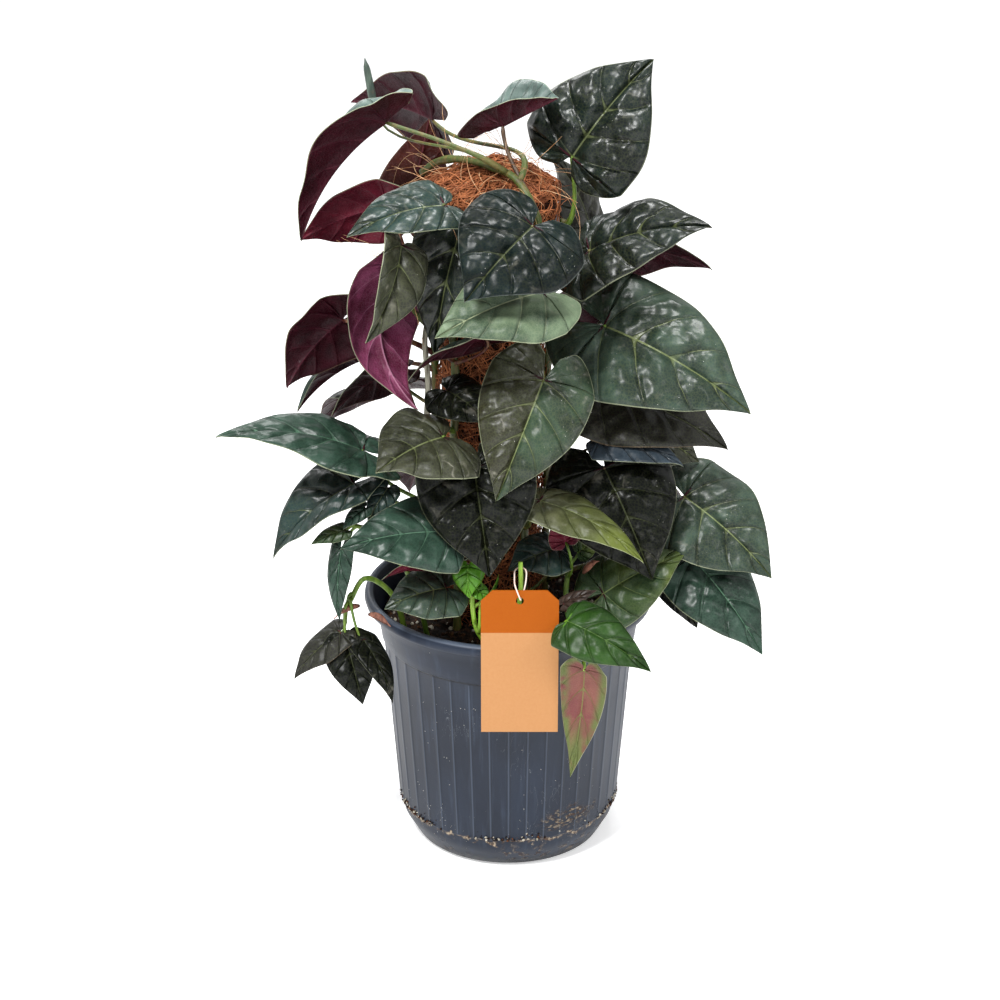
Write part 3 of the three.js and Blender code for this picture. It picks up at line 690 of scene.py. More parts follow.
class Leaf:
    """Where a blade lies and how it is shaped, in metres."""

    def __init__(self, base, tip, face, width, shape=None):
        self.base, self.tip = metres(base), metres(tip)
        self.along = self.tip - self.base
        self.length = self.along.length
        self.along.normalize()
        self.normal = Vector(face)
        self.normal = (self.normal - self.along * self.normal.dot(self.along)).normalized()
        self.across = self.normal.cross(self.along)
        self.width = width * MM
        # Where in their waves the ripples start, so that no two neighbours ripple alike
        self.ripple = width
        self.shape = {**USUAL_SHAPE, **(shape or {})}

    def point(self, turn, side):
        """A point of the upper side; side runs from -1 over the midrib to 1."""
        shape = self.shape
        away = abs(side) ** RIB_EASE
        x, y, root = outline_at(turn)
        x = root + ((x * shape["lobe"] if x < 0 else x) - root) * away
        y = y * math.copysign(away, side) * shape["halves"][side > 0]
        edge = 4 * y * y * self.width
        wave = math.sin(turn * 2.1 + math.copysign(0.9, side) + self.ripple)
        fold = shape["fold"]
        rise = abs(y) * self.width * math.sin(fold) - CURL * edge * math.cos(fold) + WAVE * edge * wave
        rise += self.relief(turn, away, x, y)
        aside = y * self.width * math.cos(fold)
        arch = shape["bend"] * self.length * 4 * x * (1 - x)
        return (self.base + self.along * (x * self.length) + self.across * aside
                + self.normal * (rise + arch))

    def relief(self, turn, away, x, y):
        """Swellings between the veins, puckers, and the sunken midrib."""
        quilt = self.shape["quilt"] * self.width * QUILT
        phase = turn + VEIN_SWEEP * away ** VEIN_BOW
        swell = abs(math.sin(math.pi * phase)) ** 0.6
        wide = min(1, turn / 2.5)
        field = eased(away, 0.02, 0.25) * (1 - eased(away, 0.8, 1)) * wide
        swell *= 1 - 0.8 * eased(turn, *LOBE_FADE)
        spot = Vector((x * self.length, y * self.width, self.ripple))
        pucker = noise.noise(spot * 75) * 0.9 + noise.noise(spot * 190) * 0.35
        flutter = noise.noise(Vector((turn * 0.8, y * 3, self.ripple * 1.7))) * away ** 2
        groove = math.exp(-(away * wide / 0.03) ** 2)
        return (quilt * (field * (swell + pucker * 0.8) - 0.4 * groove)
                + self.width * FLUTTER * flutter)


def blade(bm, leaf, top, under, grid=GRID):
    """A blade with its finishes' places in the mesh's list, for its upper side and its lower."""
    made = bmesh.ops.create_grid(bm, x_segments=grid[0], y_segments=grid[1], size=1,
                                 calc_uvs=True)["verts"]
    for vert in made:
        vert.co = leaf.point(TURNS / 2 * (1 - vert.co.x), vert.co.y)
    faces = {face for vert in made for face in vert.link_faces}
    bmesh.ops.remove_doubles(bm, verts=made, dist=WELD)
    faces = [face for face in faces if face.is_valid]
    uppers = {vert for face in faces for vert in face.verts}
    for face in faces:
        face.normal_update()
        face.material_index = top
    for vert in uppers:
        vert.normal_update()
    # A shell too thin to cross itself, whose lower side is then moved down to the real thickness
    shell = bmesh.ops.solidify(bm, geom=faces, thickness=1e-7)["geom"]
    lowers = {item for item in shell if isinstance(item, bmesh.types.BMVert)} - uppers
    for face in {face for vert in lowers for face in vert.link_faces}:
        face.material_index = under if all(vert in lowers for vert in face.verts) else top
    for vert in lowers:
        down = Vector()
        for face in vert.link_faces:
            if face.material_index == under:
                down += face.normal
        vert.co += down.normalized() * THICKNESS * MM


def petiole_line(leaf, start):
    """A petiole's points: it leaves its stem outwards and up, and meets the blade from below."""
    end = leaf.base - leaf.normal * 0.0003
    outwards = Vector((start.x - POLE_X * MM, start.y, 0)).normalized()
    towards = end - start
    towards.z = 0
    towards.normalize()
    leave = outwards * 0.6 + towards * 0.5
    leave.z = 0.7
    leave = Vector(leaf.shape.get("leave", leave)).normalized()
    arrive = Vector(leaf.shape.get("arrive", -leaf.normal - leaf.along * 0.35)).normalized()
    span = (end - start).length
    second, third = start + leave * span * 0.36, end + arrive * span * 0.34
    steps = 10 if leaf.shape["small"] else 18
    line = []
    for i in range(steps + 1):
        s, r = i / steps, 1 - i / steps
        line.append(start * r ** 3 + second * (3 * s * r * r) + third * (3 * s * s * r) + end * s ** 3)
    return line


def petiole(bm, leaf, start, index):
    thick = (1.4 if leaf.shape["small"] else 2.05) * MM

    def radius(s):
        sheath = 0.35 * (1 - eased(s, 0.05, 0.4))
        knee = 0.15 * math.exp(-((s - 0.94) / 0.04) ** 2)
        return thick * (0.95 - 0.25 * s + sheath + knee) * (1 - 0.3 * eased(s, 0.97, 1))

    tube(bm, petiole_line(leaf, start), radius, 8, index)


def leaf_mesh():
    bm = bmesh.new()
    bm.loops.layers.uv.new("UVMap")
    return bm


# Each leaf: its name, the stem it grows from and the height there, then the blade's base and tip, the
# way its upper side faces, its width, its finish above and below, its stalk, and its shape
LEAVES = [
    ("crown_left", "front_right", 582, (-94, -25, 619), (-160, -40, 531), (-9, 1, 4), 88,
     "mist", "burgundy", "olive", {"fold": 0.8, "leave": (-7, -4, 6)}),
    ("crown_back_left", "front_right", 577, (-61, 70, 599), (-128, 108, 605), (0, 9, 4), 86,
     "teal", "burgundy", "olive", {"fold": 0.25, "leave": (5, 5, 8), "arrive": (5, -4, -5)}),
    ("crown_middle", "front_right", 548, (-5, -18, 615), (36, -58, 646), (0, 0, 10), 80,
     "mist", "burgundy", "brown", {"bend": 0, "fold": 1, "lobe": 0.7, "halves": (0.5, 1),
      "leave": (-4, -10, 25), "arrive": (0, 0, -1)}),
    ("crown_right", "right", 526, (48, -22, 592), (110, 3, 662), (-2, -8, 5), 100,
     "night", "burgundy", "green", {"lobe": 0.16, "quilt": 2}),
    ("crown_behind", "back_left", 470, (-81, 45, 533), (-63, 60, 603), (2, 9, 2), 60,
     "slate", "brownred", "brown", {"fold": 0.3, "small": True}),
    ("shoulder_back", "back_right", 455, (66, 43, 517), (34, 53, 574), (6, -5, 5), 60,
     "brown", "dark", "olive", {"small": True}),
    ("heart_upper", "front_right", 470, (17, -100, 559), (-33, -143, 514), (1, -7, 7), 98,
     "slate", "burgundy", "olive", {"leave": (-10, -5, 12), "arrive": (-3, 8, -4)}),
    ("heart_pale", "front_right", 455, (24, -99, 508), (-55, -133, 483), (1, -6, 8), 78,
     "pale", "burgundy", "olive", {}),
    ("left_bullate", "front_left", 470, (-36, -62, 550), (-57, -78, 452), (-3, -9, 3), 70,
     "night", "dark", "olive", {"lobe": 0.08, "quilt": 2.4}),
    ("left_shelf", "front_left", 560, (-49, -81, 570), (-120, -108, 553), (0, -4, 9), 62,
     "teal", "burgundy", "olive", {"fold": 0.25, "lobe": 0.15, "leave": (-1, -5, 8),
      "arrive": (0, 9, -1)}),
    ("left_red_far", "left", 480, (-96, -5, 548), (-163, -15, 524), (-1, 8, 3), 60,
     "teal", "red", "red", {"small": True}),
    ("right_shelf", "right", 485, (62, -25, 519), (153, -60, 548), (1, -5, 8), 90,
     "night", "burgundy", "olive", {"quilt": 2.2}),
    ("right_red_under", "back_right", 440, (71, 24, 505), (161, 4, 495), (0, 7, 6), 66,
     "teal", "burgundy", "olive", {"lobe": 0.16, "small": True}),
    ("right_red_mid", "back_right", 410, (49, 44, 448), (106, 52, 468), (1, 8, 5), 60,
     "teal", "burgundy", "olive", {"small": True}),
    ("right_red_low", "right", 385, (48, 22, 403), (92, 32, 417), (1, 8, 5), 55,
     "teal", "burgundy", "olive", {"small": True}),
    ("right_largest", "right", 440, (75, -36, 461), (188, -73, 402), (3, -8, 6), 116,
     "grey", "burgundy", "green", {"quilt": 1.3}),
    ("front_centre", "front_right", 450, (26, -88, 434), (-10, -121, 348), (0, -9, 3), 86,
     "centre", "burgundy", "olive", {"quilt": 1.3}),
    ("right_brown", "right", 350, (73, -20, 404), (175, -35, 357), (2, -6, 8), 92,
     "brown", "dark", "brown", {}),
    ("right_blue", "right", 330, (74, -43, 370), (138, -58, 352), (2, -4, 9), 46,
     "blue", "burgundy", "olive", {"lobe": 0.15, "small": True}),
    ("right_olive", "back_right", 330, (106, 4, 361), (156, 6, 330), (3, -7, 6), 56,
     "olive", "burgundy", "olive", {"small": True}),
    ("right_lower", "right", 275, (143, -20, 310), (213, -52, 252), (3, -8, 6), 96,
     "grey", "burgundy", "olive", {}),
    ("right_dark_round", "front_right", 310, (76, -48, 346), (114, -82, 264), (1, -9, 5), 104,
     "black", "dark", "brown", {}),
    ("front_narrow", "front_right", 290, (25, -81, 332), (105, -111, 292), (4, -3, 9), 56,
     "narrow", "burgundy", "olive", {"lobe": 0.15}),
    ("right_hanging", "right", 225, (150, -30, 260), (207, -62, 188), (4, -9, 4), 74,
     "fresh", "burgundy", "olive", {"lobe": 0.2}),
    ("right_dark_back", "back_right", 222, (134, 4, 246), (158, -8, 186), (-3, -8, 4), 46,
     "black", "dark", "olive", {"small": True}),
    ("low_right_green", "shoot_right", 228, (76, -74, 249), (142, -58, 277), (1, -6, 8), 66,
     "green", "burgundy", "olive", {"leave": (9, 1, 5)}),
    ("low_bright", "shoot_right", 228, (46, -126, 249), (110, -152, 218), (2, -7, 7), 50,
     "bright", "leafgreen", "lime", {"lobe": 0.08}),
    ("low_pink", "shoot_right", 216, (59, -138, 212), (49, -136, 116), (3, 9, 0), 38,
     "green", "pinkish", "lime", {"lobe": 0.12, "arrive": (-1, 3, 9)}),
    ("left_red_large", "left", 425, (-130, -33, 465), (-174, -48, 414), (-6, 8, 2), 78,
     "teal", "burgundy", "red", {"lobe": 0.35}),
    ("left_folded", "left", 410, (-107, 14, 420), (-171, -4, 378), (-7, 1, 7), 70,
     "teal", "burgundy", "red", {"fold": 0.6}),
    ("left_magenta", "front_left", 432, (-86, -52, 514), (-71, -85, 409), (-7, 7, 0), 86,
     "teal", "magenta", "red", {"bend": 0.28, "lobe": 0.14, "quilt": 1.8}),
    ("left_olive_small", "front_left", 452, (-80, -97, 543), (-106, -136, 480), (8, -5, 4), 58,
     "olive", "burgundy", "olive", {"fold": 0.5, "lobe": 0.08, "leave": (-5, 0, 1),
      "arrive": (-2, 8, -4)}),
    ("left_burgundy", "left", 352, (-92, 8, 408), (-143, -6, 375), (-4, 6, 5), 56,
     "teal", "dark", "red", {"small": True}),
    ("centre_red_narrow", "front_left", 430, (-19, -62, 460), (-77, -98, 438), (0, 6, 8), 48,
     "night", "burgundy", "red", {"small": True, "leave": (3, -8, 3)}),
    ("left_long", "front_left", 300, (-116, -48, 362), (-231, -53, 375), (0, -1, 9), 84,
     "fresh", "burgundy", "green", {"fold": 0.2}),
    ("left_drooping", "front_left", 285, (-124, -48, 333), (-189, -64, 275), (-6, -4, 7), 76,
     "teal", "burgundy", "green", {"fold": 0.45}),
    ("front_olive", "front_left", 372, (-51, -90, 389), (-101, -130, 375), (0, -5, 9), 88,
     "olive", "burgundy", "green", {"arrive": (1, 9, -3)}),
    ("front_black_small", "front_left", 395, (-48, -60, 416), (-13, -86, 397), (0, -6, 8), 46,
     "black", "dark", "olive", {"small": True}),
    ("front_black", "front_left", 330, (-27, -94, 365), (-15, -123, 285), (0, -9, 5), 94,
     "black", "dark", "olive", {"quilt": 1.3}),
    ("left_elliptic", "front_left", 262, (-48, -96, 312), (-130, -122, 309), (0, -6, 8), 70,
     "fresh", "burgundy", "green", {"lobe": 0.12}),
    ("rim_red", "front_left", 240, (-40, -87, 283), (-100, -105, 275), (0, 6, 7), 38,
     "teal", "red", "green", {"lobe": 0.15, "small": True}),
    ("rim_grey", "front_left", 222, (-50, -92, 262), (-98, -106, 250), (0, -5, 9), 56,
     "grey", "burgundy", "green", {"small": True}),
    ("soil_dark", "front_right", 230, (38, -58, 281), (-1, -80, 271), (0, -5, 9), 48,
     "teal", "dark", "olive", {"lobe": 0.12, "small": True}),
]
# Leaves on the back stems: the stem, the height there, base, tip, face, width
BACK_LEAVES = [
    ("back_left", 505, (-60, 78, 530), (-88, 150, 484), (-3, 6, 8), 88),
    ("back_right", 490, (36, 84, 520), (66, 152, 466), (3, 7, 7), 92),
    ("back_left", 440, (-34, 92, 466), (-46, 172, 408), (-1, 8, 6), 96),
    ("back_right", 400, (85, 77, 426), (148, 116, 370), (5, 6, 7), 90),
    ("back_left", 345, (-92, 66, 380), (-164, 100, 322), (-5, 6, 7), 90),
    ("back_right", 340, (34, 94, 372), (52, 170, 308), (2, 8, 6), 94),
    ("back_left", 270, (-60, 88, 308), (-88, 152, 244), (-3, 8, 5), 86),
    ("back_right", 262, (92, 66, 296), (150, 104, 238), (5, 7, 5), 84),
    ("back_right", 225, (20, 92, 262), (30, 146, 236), (1, 7, 7), 66),
]
# Young leaves: the shoot, its stalk, how far along it, base, tip, face, width, finish above and below
YOUNG_LEAVES = [
    ("shoot_left", 0, 0.93, (-136, -78, 216), (-173, -88, 179), (-5, -5, 7), 36, "brown", "red"),
    ("shoot_left", 0, 0.99, (-130, -84, 211), (-117, -102, 163), (1, -9, 4), 42, "black", "burgundy"),
    ("shoot_left", 0, 0.95, (-116, -84, 212), (-92, -116, 172), (6, -8, 3), 28, "black", "burgundy"),
    ("shoot_side", 0, 0.96, (-133, -74, 287), (-135, -82, 228), (-4, -9, 1), 22, "fresh", "burgundy"),
    ("shoot_side", 0, 0.6, (-96, -60, 334), (-112, -70, 308), (-3, -9, 3), 24, "teal", "burgundy"),
    ("shoot_side", 0, 0.8, (-114, -72, 322), (-131, -78, 306), (-3, -6, 8), 18, "fresh", "burgundy"),
    ("shoot_side", 0, 0.98, (-130, -72, 303), (-157, -76, 292), (-2, -6, 8), 18, "green", "burgundy"),
    ("shoot_front", 0, 0.98, (-32, -99, 284), (-31, -108, 260), (-3, -9, 4), 27, "lime", "leafgreen"),
    ("shoot_front", 0, 0.7, (-26, -101, 266), (-14, -108, 256), (2, -8, 5), 14, "lime", "leafgreen"),
    ("shoot_front", 0, 0.85, (-20, -100, 258), (-22, -98, 278), (-8, -5, 2), 7, "lime", "leafgreen"),
    ("shoot_front", 0, 0.6, (-17, -100, 256), (-8, -100, 277), (8, -5, 2), 7, "lime", "leafgreen"),
    ("shoot_right", 0, 0.95, (44, -84, 244), (70, -82, 255), (0, -7, 7), 14, "rosy", "red"),
    ("shoot_right", 1, 0.95, (56, -60, 279), (74, -64, 294), (3, -6, 6), 20, "green", "leafgreen"),
    ("shoot_right", 1, 0.85, (45, -80, 296), (37, -82, 318), (-2, 8, 3), 26, "teal", "red"),
]

# The rolled leaf's foot and tip
SPEAR, SPEAR_RADIUS = ((-105, 34, 615), (-112, 37, 655)), 2.3


def make_leaves():
    for name, stem, height, base, tip, face, width, top, under, stalk, shape in LEAVES:
        leaf = Leaf(base, tip, face, width, shape)
        bm = leaf_mesh()
        blade(bm, leaf, 0, 1)
        petiole(bm, leaf, at_height(stem, height) * MM, 2)
        put(name + "_leaf", bm, [TOPS[top], UNDERS[under], STALKS[stalk]], "leaf", ["leaf_" + name])


def make_stems():
    """The stems and shoots, each one mesh with the leaves that it holds as one piece."""
    looks = [*TOPS.values(), *UNDERS.values()]
    bark = len(looks)
    top_of = {key: i for i, key in enumerate(TOPS)}
    under_of = {key: i + len(TOPS) for i, key in enumerate(UNDERS)}
    meshes = {name: leaf_mesh() for name in LINES}
    for name, bm in meshes.items():
        stem_tube(bm, name, bark)
    tones = ("teal", "night", "grey", "olive", "black", "slate")
    for i, (stem, height, base, tip, face, width) in enumerate(BACK_LEAVES):
        leaf = Leaf(base, tip, face, width)
        blade(meshes[stem], leaf, top_of[tones[i % len(tones)]], under_of["burgundy"])
        petiole(meshes[stem], leaf, at_height(stem, height) * MM, bark)
    for shoot, stalk, share, base, tip, face, width, top, under in YOUNG_LEAVES:
        leaf = Leaf(base, tip, face, width, {"lobe": 0.18, "small": True})
        line = LINES[shoot][stalk]
        start = line[round(share * (len(line) - 1))] * MM
        blade(meshes[shoot], leaf, top_of[top], under_of[under], SMALL_GRID)
        petiole(meshes[shoot], leaf, start, bark)
    for name, bm in meshes.items():
        node = name if name in SHOOTS else "stem_" + name
        stalk = "lime" if name == "shoot_front" else "green" if name in SHOOTS else "olive"
        used = sorted({face.material_index for face in bm.faces})
        for face in bm.faces:
            face.material_index = used.index(face.material_index)
        paints = [*looks, STALKS[stalk]]
        put(name + "_plant", bm, [paints[i] for i in used], "stem", [node])


def make_spear():
    """The rolled new leaf at the top."""
    leaf = Leaf(*SPEAR, (1, 0, 0), 5, {"leave": (-6, -5, 9), "small": True})
    roll = [leaf.base.lerp(leaf.tip, i / 14) for i in range(15)]

    def radius(s):
        belly = 0.35 + 1.1 * eased(s, 0, 0.3) - 0.45 * s ** 2
        return SPEAR_RADIUS * MM * belly * (1 - 0.8 * eased(s, 0.8, 1))

    bm = leaf_mesh()
    tube(bm, roll, radius, 10)
    leaf.base = leaf.base + leaf.along * 0.003
    leaf.normal = leaf.along
    petiole(bm, leaf, at_height("front_right", 583) * MM, 1)
    rolled = stalk_paint("spear_grey", "#2c3a32", "#46554a")
    put("spear_leaf", bm, [rolled, STALKS["olive"]], "leaf", ["leaf_spear"])


# Pot

# The pot's wall outside from under its middle up over the lip, and inside down to its floor
POT_OUTSIDE = [
    (0, 0), (40, 0), (74, 0), (80, 3), (83.5, 9), (87, 15.5), (89.6, 20), (90.8, 25), (91.2, 30),
    (91.5, 30.8), (92.6, 31.4), (93.0, 32.4), (95.2, 60), (98.7, 106), (101.6, 146), (104.2, 180),
    (104.6, 181), (105.8, 181.8), (106.3, 182.6), (107.3, 190), (109.4, 201), (111, 210.6),
    (112.4, 211.8), (116.8, 212), (119.2, 213.2), (120, 216), (119.6, 219), (118.2, 221.2),
    (115.6, 222), (113.4, 221.2), (112.3, 219),
]
POT_INSIDE = [
    (108.4, 206), (104, 186), (100.4, 178), (98.4, 150), (89, 32), (83.5, 14), (73, 3), (0, 3),
]
# How far a rib stands out, and how much of its flute's width it takes at its foot and at its top
RIB_HEIGHT, RIB_FLANK = 0.45, (0.03, 0.1)


def lathe(profile, steps, centre=(0, 0)):
    """A profile of radii and heights spun round an upright axis."""
    bm = bmesh.new()
    verts = [bm.verts.new((centre[0] * MM + r * MM, centre[1] * MM, z * MM)) for r, z in profile]
    edges = [bm.edges.new(pair) for pair in zip(verts, verts[1:])]
    middle = (centre[0] * MM, centre[1] * MM, 0)
    bmesh.ops.spin(bm, geom=[*verts, *edges], cent=middle, axis=(0, 0, 1), dvec=(0, 0, 0),
                   angle=2 * math.pi, steps=steps, use_merge=True, use_duplicate=False)
    bmesh.ops.remove_doubles(bm, verts=bm.verts[:], dist=WELD)
    bmesh.ops.recalc_face_normals(bm, faces=bm.faces[:])
    return bm


def on_flutes(radius, z):
    """Whether a point is on the wall's outside between the step and the collar."""
    return 32.2 < z < 180.1 and radius > 92 + (z - 31) * 0.075


def make_pot():
    """The pot, its wall made flat between slender ribs."""
    bm = lathe([*POT_OUTSIDE, *POT_INSIDE], RIBS * 12)
    for vert in bm.verts:
        x, y, z = vert.co
        radius = math.hypot(x, y)
        if on_flutes(radius / MM, z / MM):
            phase = (math.atan2(y, x) / (2 * math.pi) * RIBS) % 1
            apart = min(phase, 1 - phase)
            flat = math.cos(math.pi / RIBS) / math.cos((0.5 - apart) * 2 * math.pi / RIBS)
            rib = RIB_HEIGHT * MM * (1 - eased(apart, *RIB_FLANK))
            scale = flat * (radius + rib) / radius
            vert.co.x, vert.co.y = x * scale, y * scale
    put("nursery_pot", bm, [pot_paint()], "pot", ["pot"])


# Soil

def any_way(dice):
    return Vector([dice.uniform(-1, 1) for _ in range(3)])


def crumbs(name, grains, paints, seed):
    """Rough grains of soil, each with its place and its size."""
    dice = random.Random(seed)
    bm = bmesh.new()
    for place, size in grains:
        made = bmesh.ops.create_icosphere(bm, subdivisions=1, radius=1)["verts"]
        turn = Matrix.Rotation(dice.uniform(0, 6.28), 4, any_way(dice).normalized())
        spread = Vector([size * dice.uniform(0.6, 1.25) for _ in range(3)])
        for vert in made:
            rough = dice.uniform(0.78, 1.2)
            vert.co = place + turn @ Vector([c * s * rough for c, s in zip(vert.co, spread)])
        index = dice.randrange(len(paints))
        for face in {face for vert in made for face in vert.link_faces}:
            face.material_index = index
    put(name, bm, paints, "soil")


# The bed lies at this height inside the pot; its crumbs' number, sizes and reach, and the ring round
# the pole that they leave free
SOIL_LEVEL, SOIL_RADIUS, SOIL_RINGS = 200, 104, 44
SOIL_CRUMBS, CRUMB_SIZES, POLE_RING = 620, (0.8, 2.6), 42
# The dirt on the pot's step: its crumbs' number and sizes, and the bearings where it lies in heaps
DIRT_CRUMBS, DIRT_SIZES, DIRT_HEAPS = 420, (0.35, 1.25), (-158, -150, -143, -20, -28, -12, -92)
PERLITE = ("#8f8878", "#d8d2c4")


def soil_height(x, y):
    """The bed's lumpy surface, in metres."""
    spot = Vector((x, y, 0))
    lumps = 0.004 * noise.noise(spot * 45) + 0.0035 * noise.noise(spot * 130)
    return SOIL_LEVEL * MM + lumps + 0.0016 * noise.noise(spot * 380)


def make_soil():
    """The bed of soil, with loose crumbs of bark, peat and perlite on it."""
    side = [(0, 168), (94, 168), (97, 176), (103.5, 192), (104.5, 197)]
    top = [(SOIL_RADIUS * (1 - i / SOIL_RINGS), SOIL_LEVEL) for i in range(SOIL_RINGS + 1)]
    bm = lathe([*side, *top], 150)
    for vert in bm.verts:
        if vert.co.z > (SOIL_LEVEL - 1.5) * MM:
            vert.co.z = soil_height(vert.co.x, vert.co.y)
    put("soil_bed", bm, [soil_paint()], "soil", ["soil"])
    dice = random.Random(5)
    grains = []
    while len(grains) < SOIL_CRUMBS:
        turn, reach = dice.uniform(0, 2 * math.pi), SOIL_RADIUS * MM * math.sqrt(dice.random())
        x, y = reach * math.cos(turn), reach * math.sin(turn)
        if math.hypot(x - POLE_X * MM, y) > POLE_RING * MM:
            size = dice.uniform(*CRUMB_SIZES) * MM
            grains.append((Vector((x, y, soil_height(x, y) + size * 0.3)), size))
    bark = soil_paint("soil_bark", "#1f120a", "#5a3a22")
    pale = soil_paint("soil_perlite", *PERLITE)
    crumbs("soil_crumbs", grains, [bark, bark, bark, soil_paint("soil_peat"), pale], 8)


def make_dirt():
    """Crumbs of soil that cling to the step above the pot's foot."""
    dice = random.Random(12)
    grains = []
    for _ in range(DIRT_CRUMBS):
        heap = dice.choice((*DIRT_HEAPS, dice.uniform(-180, 180)))
        turn = math.radians(heap + dice.gauss(0, 7))
        z = 31.6 + abs(dice.gauss(0, 2.2)) if dice.random() < 0.7 else dice.uniform(16, 40)
        reach = 93.4 if z > 31 else mixed(86, 91.2, (z - 14) / 17)
        size = dice.uniform(*DIRT_SIZES) * MM
        grains.append((metres((reach * math.cos(turn), reach * math.sin(turn), z)), size))
    brown = soil_paint("dirt_brown", "#2c170c", "#6a4024")
    dark = soil_paint("dirt_dark", "#120a06", "#3a2416")
    crumbs("pot_dirt", grains, [brown, dark, dark, soil_paint("dirt_grit", *PERLITE)], 3)


# Coir pole

# The loose fibres on the sleeve: the lowest and the highest start of each band, and its seed
FIBRE_BANDS = {
    "coir_fibres_low": (0.198, 0.37, 1),
    "coir_fibres_mid": (0.36, 0.49, 2),
    "coir_fibres_top": (0.48, 0.572, 3),
}
# How many there are in a band, their radius, and the steps of each and a step's length
FIBRES, FIBRE_RADIUS, FIBRE_STEPS = 1250, 0.00046, (12, 0.006)
# The same for the free ends between them, and for the hairs of both
ENDS, HAIR_RADIUS, END_STEPS = 420, 0.0002, (10, 0.0055)
WISPS, TUFT = 130, 9
# The heap that closes the top: its radius, and its height at the middle
HEAP_RADIUS, HEAP_TOP = 0.052, 0.579
# The mat under the fibres is this much slimmer than the sleeve
MAT_UNDER = 1.5


def round_pole(turn, reach, z):
    return Vector((POLE_X * MM + reach * math.cos(turn), reach * math.sin(turn), z))

def coir_reach(turn, z):
    """The coir's surface at a bearing and a height, in metres."""
    spot = Vector((math.cos(turn) * 1.4, math.sin(turn) * 1.4, z * 22))
    lumps = 0.0022 * noise.noise(spot) + 0.0012 * noise.noise(spot * 3.1)
    return (sleeve_radius(z / MM) - MAT_UNDER) * MM + lumps


def make_coir_mat():
    """The lumpy mat that shows between the fibres, domed at its top, painted near black for the shade
    in the gaps.
    """
    sleeve = [(sleeve_radius(z) - MAT_UNDER, z) for z in range(152, 562, 4)]
    dome = [(48 - 8 * i, 564 + 9 * math.sin(i * 0.26)) for i in range(7)]
    bm = lathe([(0, 151), *sleeve, *dome], 120, (POLE_X, 0))
    for vert in bm.verts:
        x, y, z = vert.co
        x -= POLE_X * MM
        reach = math.hypot(x, y)
        if reach > 0.012:
            turn = math.atan2(y, x)
            scale = 1 + (coir_reach(turn, z) - (sleeve_radius(z / MM) - MAT_UNDER) * MM) / reach
            vert.co.x, vert.co.y = x * scale + POLE_X * MM, y * scale
    put("coir_mat", bm, [coir_paint()], "coir", ["coir_sleeve"])


def strands(name, lines, thickness, paints, dice):
    """Many thin strands of coir as one mesh; each takes one of the paints."""
    path = bpy.data.curves.new(name, "CURVE")
    path.dimensions = "3D"
    path.bevel_depth, path.bevel_resolution = thickness, 0
    path.use_fill_caps = True
    for line in lines:
        last = len(line) - 1
        spline = path.splines.new("POLY")
        spline.points.add(last)
        spline.points.foreach_set("co", [c for p in line for c in (*p, 1)])
        taper = [1 - 0.55 * abs(2 * i / last - 1) ** 3 for i in range(last + 1)]
        spline.points.foreach_set("radius", taper)
        spline.material_index = dice.randrange(len(paints))
    for paint in paints:
        path.materials.append(paint)
    rough = linked(name + "_path", path)
    solid = rough.evaluated_get(bpy.context.evaluated_depsgraph_get())
    mesh = bpy.data.meshes.new_from_object(solid)
    bpy.data.objects.remove(rough)
    mesh.name = name
    dress(linked(name, mesh), ["coir_sleeve"])


def fibre(dice, turn, z, steps, stride, lift):
    """One fibre that wanders over the coir from a starting bearing and height."""
    heading, bend = dice.uniform(-math.pi, math.pi), dice.uniform(-0.25, 0.25)
    line = []
    for i in range(steps):
        reach = coir_reach(turn, z) + lift(i / (steps - 1)) * MM
        line.append(round_pole(turn, reach, z))
        heading += bend + dice.uniform(-0.2, 0.2)
        turn += stride * math.cos(heading) / reach
        z = min(0.572, max(0.196, z + stride * math.sin(heading)))
    return line


def heap_fibre(dice, steps, stride, lift):
    """One fibre of the loose heap that closes the top of the coir."""
    heading, bend = dice.uniform(-math.pi, math.pi), dice.uniform(-0.25, 0.25)
    turn, reach = dice.uniform(-math.pi, math.pi), 0.05 * math.sqrt(dice.random())
    x, y = reach * math.cos(turn), reach * math.sin(turn)
    line = []
    for i in range(steps):
        out = math.hypot(x, y)
        if out > HEAP_RADIUS:
            x, y, out = x * HEAP_RADIUS / out, y * HEAP_RADIUS / out, HEAP_RADIUS
            heading += 1.2
        lumps = 0.004 * noise.noise(Vector((x * 70, y * 70, 3)))
        z = HEAP_TOP - 0.02 * (out / HEAP_RADIUS) ** 2.2 + lumps + lift(i / (steps - 1)) * MM
        line.append(Vector((x + POLE_X * MM, y, z)))
        heading += bend + dice.uniform(-0.2, 0.2)
        x += stride * math.cos(heading)
        y += stride * math.sin(heading)
    return line


def bowed(top):
    """How high a fibre stands off the coir along its length, rooted at both ends."""
    return lambda share: -0.6 + top * math.sin(math.pi * share)


def lifted(out):
    """The same for a fibre that is rooted at one end only."""
    return lambda share: 0.5 + out * share ** 1.6


